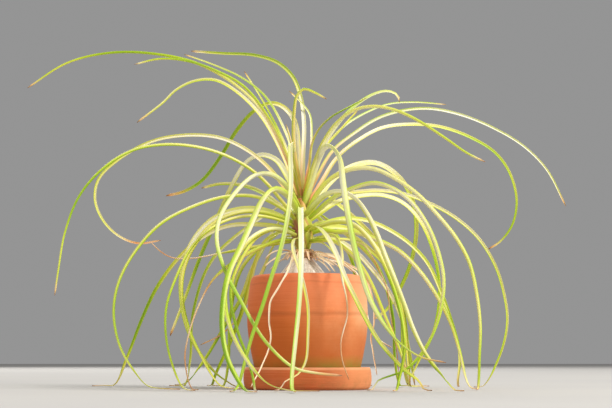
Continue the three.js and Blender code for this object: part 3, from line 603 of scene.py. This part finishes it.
def terracotta(name, base, dark, pale):
    """Fired clay with a fine grain, throwing rings and soft clouds."""
    paint = Paint(name)
    clouds = paint.ramp(paint.noise(24, 5), 0.3, 0.7)
    rings = paint.noise(40, 4, 0.65, paint.stretched(0.5, 0.5, 26))
    specks = paint.ramp(paint.noise(900, 2, 0.5), 0.66, 0.74)
    colour = paint.cover(base, dark, clouds, 0.4)
    colour = paint.cover(colour, pale, paint.ramp(rings, 0.4, 0.64), 0.22)
    colour = paint.cover(colour, dark, specks, 0.35)
    return paint, colour, paint.mix(0.6, rings, paint.noise(1400, 3, 0.7))


def pot_material():
    paint, colour, relief = terracotta("pot_clay", *POT_CLAY)
    across = paint.along("X")
    patches = paint.ramp(paint.noise(50, 6, 0.7), 0.3, 0.75, 0.35)
    # Pale bloom in patches, made stronger towards the right side as painted light where the key light
    # falls
    colour = paint.cover(colour, POT_BLOOM_AND_LIGHT, patches, paint.band(-30, 48, 0.0, 0.75, across))
    # Painted highlight: a pale patch on the right side at mid height, where the key light falls
    colour = paint.cover(colour, POT_PAINTED_HIGHLIGHT, paint.band(40, 66),
                         paint.band(32, 52, 0.0, 0.6, across))
    colour = paint.cover(colour, POT_LOWER, paint.band(28, 76, 1.0, 0.0), 0.68)
    colour = paint.cover(colour, POT_SHOULDER, paint.band(50, 94), 0.5)
    wobble = paint.math("MULTIPLY", paint.math("SUBTRACT", paint.noise(30), 0.5), 0.006)
    level = paint.math("ADD", paint.along("Z"), wobble)
    for height, half, share, tone in POT_LINES:
        off = paint.math("ABSOLUTE", paint.math("SUBTRACT", level, height * MM))
        colour = paint.mix(paint.band(0, half, share, 0.0, off), colour, tone)
    patches = paint.ramp(paint.noise(90, 5, 0.7), 0.3, 0.6, 0.45)
    low = paint.math("MULTIPLY", paint.band(18, 30, 1.0, 0.0, level, "LINEAR"), patches)
    colour = paint.cover(colour, POT_ALGAE, low, paint.band(-40, 30, 0.45, 1.0, across))
    return paint.finish(colour, 0.8, Normal=paint.bump(relief, 0.3, 0.2))


def saucer_material():
    paint, colour, relief = terracotta("saucer_clay", *SAUCER_CLAY)
    # Painted light: the saucer paler towards its right side, where the key light falls
    lit_side_share = paint.band(0, 54, 0.0, 0.6, paint.along("X"))
    colour = paint.mix(lit_side_share, colour, SAUCER_LIT_SIDE)
    # Painted highlight: a pale line round the top of the rim
    colour = paint.cover(colour, SAUCER_LIP_HIGHLIGHT, paint.band(16.4, 17.6), 0.6)
    patches = paint.ramp(paint.noise(90, 5, 0.7), 0.45, 0.7)
    colour = paint.cover(colour, SAUCER_ALGAE, patches, paint.band(4, 13, 0.4, 0.05))
    return paint.finish(colour, 0.85, Normal=paint.bump(relief, 0.35, 0.2))


def grain_material(name, tones, scale, detail=5, high=0.65, relief=(0.6, 0.3), rough=0.9):
    """Fine grains of two tones."""
    paint = Paint(name)
    share = paint.ramp(paint.noise(scale, detail, 0.7), 0.35, high)
    return paint.finish(paint.mix(share, *tones), rough, Normal=paint.bump(share, *relief))


def bark_material():
    """Pale grey bark with fine upright streaks and darker cracks."""
    paint = Paint("caudex_bark")
    upright = paint.stretched(1, 1, 0.14)
    streaks = paint.ramp(paint.noise(620, 6, 0.75, upright), 0.34, 0.66)
    broad = paint.ramp(paint.noise(120, 4, 0.6, upright), 0.35, 0.68)
    cracks = paint.ramp(paint.noise(300, 8, 0.8, upright), 0.37, 0.44, 1.0, 0.0)
    colour = paint.mix(streaks, *BARK)
    colour = paint.cover(colour, BARK_WARM, broad, 0.35)
    colour = paint.cover(colour, BARK_CRACK, cracks, 0.6)
    colour = paint.cover(colour, BARK_NECK, paint.band(109, 116), 0.6)
    relief = paint.mix(0.5, streaks, cracks)
    return paint.finish(colour, 0.9, Normal=paint.bump(relief, 0.6, 0.5))


def leaf_material(name, roughness, vein_depth, glow):
    """The tint given to each point, which on living leaves holds painted light and shade, with fine veins
    along it and light that passes through.
    """
    paint = Paint(name)
    tint = paint.node("ShaderNodeAttribute", "Color", {"attribute_name": "tint"})
    flat = paint.node("ShaderNodeUVMap", 0, {"uv_map": "UVMap"})
    veins = paint.noise(1.0, 2, 0.5, paint.stretched(9, 2.5, 1, flat))
    darker = paint.mix(0.8, tint, VEIN, "MULTIPLY")
    colour = paint.cover(tint, darker, paint.ramp(veins, 0.35, 0.65), 0.35)
    spots = paint.ramp(paint.noise(160, 3, 0.6), 0.6, 0.74)
    colour = paint.cover(colour, LEAF_SPOT, spots, 0.12)
    return paint.finish(colour, roughness, Normal=paint.bump(veins, vein_depth, 0.2),
                        Specular_IOR_Level=0.35, Subsurface_Weight=glow,
                        Subsurface_Radius=GLOW_COLOUR, Subsurface_Scale=GLOW_DEPTH * MM)


# Pot, saucer, soil and stem base

def throwing_rings(depth, least_radius, least_height):
    """Shallow rings on the clay, apart from what lies nearer to the axis or lower."""
    def shift(radius, height, angle):
        if radius < least_radius or height < least_height:
            return radius, height
        swing = sum(share * math.sin(height * turn + start + sway * math.sin(times * angle))
                    for share, turn, start, sway, times in RING_WAVES)
        out = noise.noise(spoke(angle, 3, height / 18))
        return radius - depth * (1.2 + 0.5 * swing) + 0.2 * depth * out, height
    return shift


def make_pot():
    section = [(POT_DRAIN, 0)] + rounded(POT_OUTLINE, 1.5) + rounded(POT_INSIDE, 4) \
        + [(POT_DRAIN, POT_FLOOR)]
    section = [(r, z + POT_FOOT) for r, z in section]
    pot = turned("pot_body", section, CLAY_SIDES, shift=throwing_rings(*POT_RINGS))
    seat(pot, pot_material(), "pot_terracotta", "pot")


def make_saucer():
    section = SAUCER_UNDER + rounded(SAUCER_WALL, 1.1) + SAUCER_FLOOR
    saucer = turned("saucer_body", section, CLAY_SIDES, shift=throwing_rings(*SAUCER_RINGS))
    seat(saucer, saucer_material(), "saucer_terracotta", "saucer")


def soil_height(x, y):
    fall = 1 - smoothstep(math.hypot(x, y), *MOUND_FALL)
    bumps = noise.fractal((x / 7, y / 7, 0), 0.8, 2.1, 4)
    return SOIL_TOP - SOIL_SINK + SOIL_MOUND * fall + SOIL_ROUGH * max(-1, min(1, bumps))


def make_soil():
    wall = [(r - SEAT_GAP, z + POT_FOOT) for r, z in reversed(POT_INSIDE)
            if z < SOIL_TOP - POT_FOOT]
    (first_r, first_z), *rest = wall
    low = first_z + SEAT_GAP
    top = [(SOIL_EDGE * (1 - k / SOIL_ROWS), SOIL_TOP) for k in range(SOIL_ROWS)]
    section = [(0, low), (20, low), (first_r - 0.4, low)] + rest + top + [(0, SOIL_TOP)]

    def shift(radius, height, angle):
        if height < SOIL_TOP:
            return radius, height
        return radius, soil_height(radius * math.cos(angle), radius * math.sin(angle))

    soil = turned("soil_bed", section, SOIL_SIDES, shift=shift)
    seat(soil, grain_material("potting_mix", SOIL, 420, 6, 0.7, (0.9, 0.9), 0.95),
         "potting_mix", "soil")


def icosahedron():
    """The corners of an icosahedron, and its triangles facing outwards."""
    golden = (1 + 5 ** 0.5) / 2
    corners = []
    for s in (1, -1):
        for t in (golden, -golden):
            corners += [(s, t, 0), (0, s, t), (t, 0, s)]
    corners = [Vector(c).normalized() for c in corners]
    edge = 1.05 * min((a - b).length for a, b in itertools.combinations(corners, 2))
    sides = []
    for i, j, k in itertools.combinations(range(len(corners)), 3):
        a, b, c = corners[i], corners[j], corners[k]
        if max((a - b).length, (b - c).length, (c - a).length) < edge:
            outward = (b - a).cross(c - a).dot(a + b + c) > 0
            sides.append((i, j, k) if outward else (i, k, j))
    return corners, sides


def lumps(name, count, size, seed, flat, material):
    """Small rough grains pressed into the soil."""
    draw = random.Random(seed)
    corners, sides = icosahedron()
    points, faces = [], []
    for _ in range(count):
        angle = draw.uniform(0, 2 * math.pi)
        far = draw.uniform(0, LUMP_REACH)
        x, y = far * math.cos(angle), far * math.sin(angle)
        if math.hypot(x - STEM_X, y) < LUMP_CLEARANCE:
            continue
        radius = size * draw.uniform(0.5, 1.3)
        turn = Matrix.Rotation(draw.uniform(0, 6.28), 3, "Z") \
            @ Matrix.Rotation(draw.uniform(-0.6, 0.6), 3, "X")
        first = len(points)
        middle = Vector((x, y, soil_height(x, y) + 0.25 * radius))
        for corner in corners:
            rough = 1 + draw.uniform(-0.2, 0.2)
            spot = turn @ Vector((corner[0] * rough, corner[1] * 0.75, corner[2] * flat))
            points.append(middle + radius * spot)
        faces += [tuple(first + i for i in side) for side in sides]
    seat(mesh_object(name, points, faces), material, "potting_mix")


def make_caudex():
    outline = [(0, STEM_FOOT)] + rounded(STEM_SIDE, 0.8) \
        + [(NECK_RADIUS / 2, NECK_TOP), (0, NECK_TOP)]

    def shift(radius, height, angle):
        fade = smoothstep(height, *WRINKLE_START) * (1 - smoothstep(height, *WRINKLE_STOP))
        wave = sum(share * math.sin(waves * angle + turn * height)
                   for share, waves, turn in WRINKLE_WAVES)
        streak = noise.fractal(spoke(angle, 9, height / 16), 0.7, 2.2, 4)
        fine = noise.noise(spoke(angle, 26, height / 9))
        rough = smoothstep(height, *BARK_START) * min(1, radius / 10)
        bark = rough * (STREAK_DEPTH * streak + GRAIN_DEPTH * fine)
        return radius * (1 + WRINKLE_DEPTH * fade * wave) + bark, height

    caudex = turned("caudex_bark", outline, BARK_SIDES, STEM_X, shift)
    seat(caudex, bark_material(), "bark", "caudex")


# Routes of the leaves

def core_at(height):
    share = (height - CORE_LOW[2]) / (CORE_TOP[2] - CORE_LOW[2])
    return CORE_LOW + share * (CORE_TOP - CORE_LOW)


def from_picture(across, up, deep):
    near = (EYE_DISTANCE + deep) / EYE_DISTANCE
    height = EYE_HEIGHT + (up - EYE_HEIGHT) * near
    return np.array([across * near, deep, max(height, SURFACE_LIFT)])


def leaf_points(base, deep, seen, run):
    root = core_at(base)
    flat = np.array([(root[0], root[2])] + [p[:2] for p in seen])
    lengths = np.cumsum(np.linalg.norm(np.diff(flat, axis=0), axis=1))
    shares = np.minimum(lengths / lengths[-1], 1.0)
    points = [root]
    for share, p in zip(shares, seen):
        depth = p[2] if len(p) > 2 else deep * (1 - (1 - share) ** DEPTH_EASE)
        points.append(from_picture(*p[:2], depth))
    for across, away in run:
        x, y, z = points[-1]
        lift = RUN_LIFT if z > SURFACE_LIFT + RUN_LIFT else 0.0
        points.append(np.array([x + RUN_BEND * across, y + RUN_BEND * away,
                                SURFACE_LIFT + lift]))
        points.append(np.array([x + across, y + away, SURFACE_LIFT]))
    return np.array(points)


def back_points(index):
    spread = (index * GOLDEN) % 1
    rising = BACK_HEADING[0] + BACK_HEADING[1] * spread
    falling = rising + math.copysign(BACK_SWING, rising - BACK_MIDDLE)
    base = BACK_ROOT[0] + BACK_ROOT[1] * index
    apex = BACK_APEX[0] + BACK_APEX[1] * index
    reach = BACK_REACH[index % len(BACK_REACH)]
    foot = BACK_FOOT[index % len(BACK_FOOT)]
    root = core_at(base)
    rise = [(out * reach, base + up * (apex - base)) for out, up in BACK_RISE]
    fall = [(reach + out * (foot - reach), up * apex) for out, up in BACK_FALL]
    fall += [(foot + run, SURFACE_LIFT) for run in BACK_RUN]
    return np.array([root]
                    + [spoke(math.radians(rising), *place, root[0]) for place in rise]
                    + [spoke(math.radians(falling), *place, root[0]) for place in fall])


def dry_points(base, seen):
    root = np.array([STEM_X, 0.0, base])
    points = [from_picture(*p) for p in seen]
    out = points[0] - root
    out[2] = 0
    return np.array([root + out / np.linalg.norm(out) * STUB_ROOT] + points)


def stub_points(index):
    spread = (index * GOLDEN) % 1
    heading = 2 * math.pi * spread
    reach = STUB_REACH[0] + STUB_REACH[1] * ((spread * GOLDEN) % 1)
    places = [
        (STUB_ROOT, STUB_ROOT_HEIGHT),
        (STUB_ROOT + STUB_BEND * (reach - STUB_ROOT), STUB_HIGH),
        (reach, STUB_HIGH - STUB_DROP[0] - STUB_DROP[1] * spread),
    ]
    return np.array([spoke(heading, *place, STEM_X) for place in places])


def along_curve(points, step):
    """Evenly spaced places and directions on the centripetal curve through the points."""
    ends = np.vstack([2 * points[0] - points[1], points, 2 * points[-1] - points[-2]])
    fine = []
    w = np.linspace(0, 1, 25)[:-1, None]
    for i in range(1, len(ends) - 2):
        x0, x1, x2, x3 = ends[i - 1:i + 3]
        d0, d1, d2 = (np.sum((b - a) ** 2) ** 0.25 for a, b in ((x0, x1), (x1, x2), (x2, x3)))
        t1 = ((x1 - x0) / d0 - (x2 - x0) / (d0 + d1) + (x2 - x1) / d1) * d1
        t2 = ((x2 - x1) / d1 - (x3 - x1) / (d1 + d2) + (x3 - x2) / d2) * d1
        fine.append(x1 + t1 * w + (3 * (x2 - x1) - 2 * t1 - t2) * w ** 2
                    + (2 * (x1 - x2) + t1 + t2) * w ** 3)
    fine = np.vstack(fine + [points[-1:]])
    run = np.concatenate([[0], np.cumsum(np.linalg.norm(np.diff(fine, axis=0), axis=1))])
    places = np.linspace(0, run[-1], max(8, int(round(run[-1] / step))) + 1)
    centre = np.stack([np.interp(places, run, fine[:, k]) for k in range(3)], axis=1)
    tangent = np.gradient(centre, axis=0)
    tangent /= np.linalg.norm(tangent, axis=1)[:, None]
    return centre, tangent, places


def half_turns_off(angle):
    """The turn nearest to nil that leaves a flat blade in the same plane."""
    return angle - math.pi * round(angle / math.pi)


def blade_frames(along, places, heading):
    """Each section's side, carried along from the root without wringing, and the turn by
    which the blade comes round there to show the viewer its full width."""
    side = np.array([-heading[1], heading[0], 0.0])
    sides, turns = [], []
    turn = last = 0.0
    for direction, place in zip(along, places):
        side = side - direction * side.dot(direction)
        side = side / np.linalg.norm(side)
        shown = np.cross(direction, VIEW_WAY)
        wanted = math.atan2(shown.dot(np.cross(direction, side)), shown.dot(side))
        settled = 1 - math.exp(-(place - last) * shown.dot(shown) / FACING_LENGTH)
        turn += settled * half_turns_off(wanted - turn)
        last = place
        sides.append(side)
        turns.append(turn)
    return np.array(sides), np.array(turns)


def turned_about(vectors, axes, angles):
    """Each vector turned about the axis that it stands square to."""
    cos, sin = np.cos(angles)[:, None], np.sin(angles)[:, None]
    return vectors * cos + np.cross(axes, vectors) * sin


# Section of a blade, (across, up, lower face), round a shallow channel over the keel
SECTION = [
    (1.0, 0.5, 0), (0.86, 0.44, 0), (0.5, 0.2, 0), (0.14, -0.06, 0), (0.0, -0.12, 0),
    (-0.14, -0.06, 0), (-0.5, 0.2, 0), (-0.86, 0.44, 0), (-1.0, 0.5, 0), (-0.7, 0.02, 1),
    (-0.34, -0.34, 1), (0.0, -0.56, 1), (0.34, -0.34, 1), (0.7, 0.02, 1),
]


class Foliage:
    """Many blades in one mesh, with a tint for each point of the mesh."""

    def __init__(self):
        self.points, self.faces, self.tints, self.flat = [], [], [], []
        self.count = 0

    def blade(self, points, width, roll, twist, tint, step=LEAF_STEP, ripple=0.0, seed=0,
              withered=NEVER):
        centre, along, places = along_curve(points, step)
        centre[:, 2] = np.maximum(centre[:, 2], SURFACE_LIFT)
        heading = points[min(HEADING_POINT, len(points) - 1)] - points[0]
        heading[2] = 0
        heading /= np.linalg.norm(heading)
        share = places / places[-1]
        side, shown = blade_frames(along, places, heading)
        up = np.cross(along, side)
        own = FACING * shown + twist * (share - TWIST_MIDDLE) \
            + roll * smoothstep(share, 0, ROLL_SETTLED)
        level = own[-1] + half_turns_off(-math.atan2(side[-1, 2], up[-1, 2]) - own[-1])
        lying = points[-1, 2] < SURFACE_LIFT + FLAT_BELOW
        free = smoothstep(centre[:, 2], FLAT_BELOW, FREE_ABOVE) if lying else 1.0
        turn = free * own + (1 - free) * level + ripple * np.sin(places * RIPPLE_TURN + seed)
        side, up = turned_about(side, along, turn), turned_about(up, along, turn)
        flare = 1 + ROOT_FLARE * np.maximum(0, 1 - share / FLARE_END)
        half = width / 2 * flare * (1 - (1 - TIP_SHARE) * share ** TAPER_EASE)
        half *= 1 - (1 - WITHERED_SHARE) * smoothstep(share, withered, withered + WITHER_LENGTH)
        half *= 1 - POINT_NARROWING * smoothstep(share, POINT_START, 1.0)
        keel = np.maximum(LEAST_KEEL, 2 * half * KEEL_SHARE)
        for across, high, under in SECTION:
            ring = centre + side * (half * across)[:, None] + up * (keel * high)[:, None]
            ring[:, 2] = np.maximum(ring[:, 2], LOWEST_VERTEX)
            self.points.append(ring)
            self.tints.append(tint(share, places, across, under))
            self.flat.append(np.stack([np.full(len(share), across / 2 + 0.5),
                                       places * MM * 10], axis=1))
        rows = len(share)
        rings = [self.count + k * rows for k in range(len(SECTION))]
        for a, b in zip(rings, rings[1:] + rings[:1]):
            self.faces += [(a + i, b + i, b + i + 1, a + i + 1) for i in range(rows - 1)]
        self.faces.append(tuple(reversed(rings)))
        self.faces.append(tuple(a + rows - 1 for a in rings))
        self.count += rows * len(SECTION)

    def piece(self, name):
        made = mesh_object(name, np.vstack(self.points), self.faces)
        colour_points(made, np.vstack(self.tints), np.vstack(self.flat))
        return made


def layered(colour, *layers):
    """A colour with others laid over it in turn, each by a share for every place."""
    for tone, share in layers:
        share = np.clip(share, 0, 1)[:, None]
        colour = colour * (1 - share) + tone * share
    return colour


def leaf_colour(level, mint):
    yellow, cool = (
        np.stack([np.interp(level, LEAF_LEVELS, palette[:, c]) for c in range(3)], axis=1)
        for palette in (YELLOW_LEAF, MINT_LEAF))
    return layered(yellow, (cool, mint))


def waves(places, seed, length):
    return 0.5 + 0.25 * np.sin(places / length + seed * 2.4) \
        + 0.25 * np.sin(places / (0.43 * length) + seed * 5.1)


def living(near, far, pink, dry, end, mint, seed):
    """Tint of a leaf with a fine rim and with painted light: one half paler as if sunlit and the other
    greener as painted shade, a darker lower face as painted shade, painted sunlight on the green base and
    partly painted shade in the crimson root.
    """
    lit_half_strength = 0.5 + 0.5 * ((seed * GOLDEN * 3) % 1)
    sign = 1 if (seed * GOLDEN * 5) % 1 > 0.4 else -1
    rust = 0.3 + 0.6 * ((seed * GOLDEN * 7) % 1)

    def tint(share, places, across, under):
        rim = abs(across) ** 6
        level = near + (far - near) * smoothstep(share, *WAY_DOWN)
        level += (end - far) * smoothstep(share, *LEAF_END)
        level += 0.22 * (waves(places, seed, 31.0) - 0.5)
        # Painted light and shade: one half of the blade paler, as if in sun, the other greener, as if in
        # shade
        level += 0.22 * lit_half_strength * np.tanh(5 * (sign * across + 0.35 * np.sin(places / 47 + seed)))
        # A darker fine rim, and a darker lower face as painted shade
        level -= 0.3 * rim + 0.2 * under
        level -= 0.38 * (1 - smoothstep(places, *DEEP_END))
        blush = layered(HEART, (BLUSH, smoothstep(places, *HEART_END)))
        streak = 0.7 + 0.3 * math.tanh(4 * (sign * across - 0.1))
        husk = layered(STRAW, (TAN, waves(places, seed + 3, 12.0)),
                       (RUST, rust * smoothstep(share, dry, 1.0)))
        faded = smoothstep(share, dry - 0.04, min(1.0, dry + 0.1))
        return layered(
            leaf_colour(level, mint * (1 - 0.4 * smoothstep(share, *MINT_LOSS))),
            # The base a clearer green: partly its own colour, partly painted sunlight that lifts the base
            # out of the crown's shade
            (BASE_GREEN_AND_SUN, 0.5 * (1 - smoothstep(places, *BASE_SUN_END))),
            (blush, pink * streak * (1 - smoothstep(places, *PINK_END))),
            # Dark crimson at the very root: partly red, partly painted shade deep in the heart
            (CRIMSON_AND_SHADE, 0.45 * (1 - smoothstep(places, *CRIMSON_END))),
            (husk, np.maximum(faded, 0.1 * rim)),
            (BROWN, 0.8 * smoothstep(share, POINT_START, 1.0)),
        )
    return tint


def dead(seed, shade):
    """Tint of a dead leaf, from straw to tan and rust, with a paler rim."""
    def tint(share, places, across, under):
        level = waves(places, seed, 9.0) * 0.5 + 0.7 * (shade - 0.5)
        return layered(
            STRAW,
            (TAN, level),
            (RUST, 0.6 * smoothstep(level, *RUST_LEVELS)),
            (HUSK_RIM, np.full(len(share), 0.5 * across ** 2)),
            (BROWN, 0.35 * smoothstep(share, *DRY_POINT) + 0.05 * under),
        )
    return tint


def leaf_turns(index):
    roll = ROLL_SPREAD * ((index * GOLDEN) % 1 - 0.5)
    twist = TWIST_SPREAD * (((index + 1) * GOLDEN * GOLDEN) % 1 - 0.5)
    return roll, twist


def make_crown():
    crown = Foliage()
    for k, ((base, width, deep, seen, *run), look) in enumerate(zip(LEAVES, LOOKS)):
        crown.blade(leaf_points(base, deep, seen, run), width, *leaf_turns(k),
                    living(*(part / 100 for part in look), k), withered=WITHERED_FROM.get(k, NEVER))
    for k in range(BACK_COUNT):
        pale = BACK_PALE[0] + BACK_PALE[1] * ((k * GOLDEN) % 1)
        crown.blade(back_points(k), BACK_WIDTH, BACK_ROLL, 0,
                    living(pale, *BACK_LOOK, k + BACK_SEED))
    seat(crown.piece("living_leaves"), leaf_material("living_leaf", 0.5, 0.12, 0.3),
         "living_leaf", "leaf_crown")


def make_core():
    """The leaf bases that wrap the young stem, each a little proud of the next."""
    foot, height = CORE_LOW[2], CORE_TOP[2] - CORE_LOW[2]
    outline = [(0, 0)] + rounded(CORE_SIDE, 0.9) + [(0, height - 0.2)]
    outline = [(r, z + foot) for r, z in outline]

    def wrap(z, angle):
        turns = WRAP_TURNS * angle / (2 * math.pi) + 2 * np.sin(angle) / 9
        return (turns + (z - foot) / WRAP_RISE) % 1

    def shift(radius, z, angle):
        return radius - WRAP_DEPTH * (1 - wrap(z, angle)) ** 2 * min(1, radius / 6), z

    core = turned("leaf_bases", outline, CORE_SIDES, 0.0, shift)
    x, y, z = np.array([vertex.co / MM for vertex in core.data.vertices]).T
    angle = np.arctan2(y, x) % (2 * math.pi)
    share = (z - foot) / height
    place = wrap(z, angle)
    body = leaf_colour(0.15 + 0.45 * place, np.full(len(z), 0.2))
    pink = np.maximum(0, 1 - abs(place - 0.1) / 0.3) * (0.45 + 0.5 * share)
    pink = np.maximum(pink, 0.8 * smoothstep(z, *PINK_TOP))
    # Crimson round the young stem: partly red, partly painted shade that is deepest on the left, shaded
    # side
    shaded_left = 1 - smoothstep(x, *CRIMSON_SHADE_SIDE)
    red_and_shade = np.maximum(0, 1 - abs(z - CRIMSON_HEIGHT) / CRIMSON_REACH) * (0.25 + 0.7 * shaded_left)
    body = layered(body, (HEART * 0.7 + BLUSH * 0.3, pink), (CRIMSON_AND_SHADE, red_and_shade))
    flat = np.stack([WRAP_TURNS * angle / (2 * math.pi), z * MM * 10], axis=1)
    colour_points(core, body, flat)
    for vertex, at in zip(core.data.vertices, z):
        vertex.co.x += core_at(at)[0] * MM
    seat(core, leaf_material("leaf_base", 0.55, 0.5, 0.2), "living_leaf")


def make_dry():
    def ribs(radius, z, angle):
        return radius - COLLAR_RIB_DEPTH * (1 - math.sin(COLLAR_RIBS * angle + z)), z

    collar = turned("leaf_base_collar", rounded(COLLAR_SECTION, 0.9), COLLAR_SIDES, STEM_X, ribs)
    seat(collar, grain_material("collar_fibre", FIBRE, 300), "dead_leaf")
    dry = Foliage()
    for k, (base, width, seen) in enumerate(DRY_LEAVES):
        dry.blade(dry_points(base, seen), width, 0, 0, dead(k, (k * GOLDEN) % 1),
                  DRY_STEP, DRY_RIPPLE, k)
    for k in range(STUB_COUNT):
        dry.blade(stub_points(k), STUB_WIDTH, 0, 0, dead(k + STUB_SEED, (k * GOLDEN) % 1),
                  STUB_STEP, DRY_RIPPLE, k)
    seat(dry.piece("dead_leaves"), leaf_material("dead_leaf", 0.75, 0.5, 0.2),
         "dead_leaf", "dry_leaves")


# Stage, light and camera

FLOOR_HALF = 9000
FLOOR_TONES = ((0.52, 0.51, 0.50), (0.55, 0.54, 0.52))
SKY = (0.88, 0.88, 0.88, 1)
SKY_STRENGTH = 0.34
LIT_PLACE = (0.0, 0.0, 0.13)

# Name, place, size, power and colour of each lamp
LAMPS = [
    ("key", (2.8, -2.0, 2.7), 1.2, 212, (1.0, 0.97, 0.92)),
    ("fill", (-3.2, -2.8, 1.3), 2.8, 56, (1.0, 0.97, 0.91)),
    ("back", (-1.0, 3.0, 2.5), 2.4, 84, (1.0, 0.98, 0.94)),
]


def make_stage():
    corners = [(-1, -1), (1, -1), (1, 1), (-1, 1)]
    floor = mesh_object("floor", [(x * FLOOR_HALF, y * FLOOR_HALF, 0) for x, y in corners],
                        [(0, 1, 2, 3)])
    paint = Paint("pale_floor")
    colour = paint.mix(paint.ramp(paint.noise(3, 3), 0.3, 0.7), *FLOOR_TONES)
    floor.data.materials.append(paint.finish(colour, 1.0, Specular_IOR_Level=0.0))
    world = bpy.data.worlds.new("studio")
    world.use_nodes = True
    sky = world.node_tree.nodes["Background"]
    sky.inputs["Color"].default_value = SKY
    sky.inputs["Strength"].default_value = SKY_STRENGTH
    bpy.context.scene.world = world


def look_from(made, place, target):
    made.location = place
    made.rotation_mode = "QUATERNION"
    made.rotation_quaternion = (Vector(target) - Vector(place)).to_track_quat("-Z", "Y")
    bpy.context.scene.collection.objects.link(made)


def make_light():
    for name, place, size, power, colour in LAMPS:
        lamp = bpy.data.lights.new(name, "AREA")
        lamp.shape = "DISK"
        lamp.size = size
        lamp.energy = power
        lamp.color = colour
        look_from(bpy.data.objects.new(name, lamp), place, LIT_PLACE)


def make_camera():
    data = bpy.data.cameras.new("view")
    camera = bpy.data.objects.new("view", data)
    eye = Vector((0.0, -EYE_DISTANCE * MM, EYE_HEIGHT * MM))
    aim = Vector(AIM) * MM
    look_from(camera, eye, aim)
    data.sensor_width = SENSOR
    data.lens = SENSOR * (aim - eye).length / (FIELD_WIDTH * MM)
    data.clip_start, data.clip_end = CLIP
    bpy.context.scene.camera = camera


make_saucer()
make_pot()
make_soil()
lumps("soil_crumbs", 420, 1.5, 11, 0.7, grain_material("dark_crumb", CRUMB, 700))
lumps("perlite", 46, 1.3, 12, 0.9, grain_material("perlite", PERLITE, 900))
make_caudex()
make_core()
make_crown()
make_dry()
make_stage()
make_light()
make_camera()
bpy.context.scene.view_settings.view_transform = "Standard"
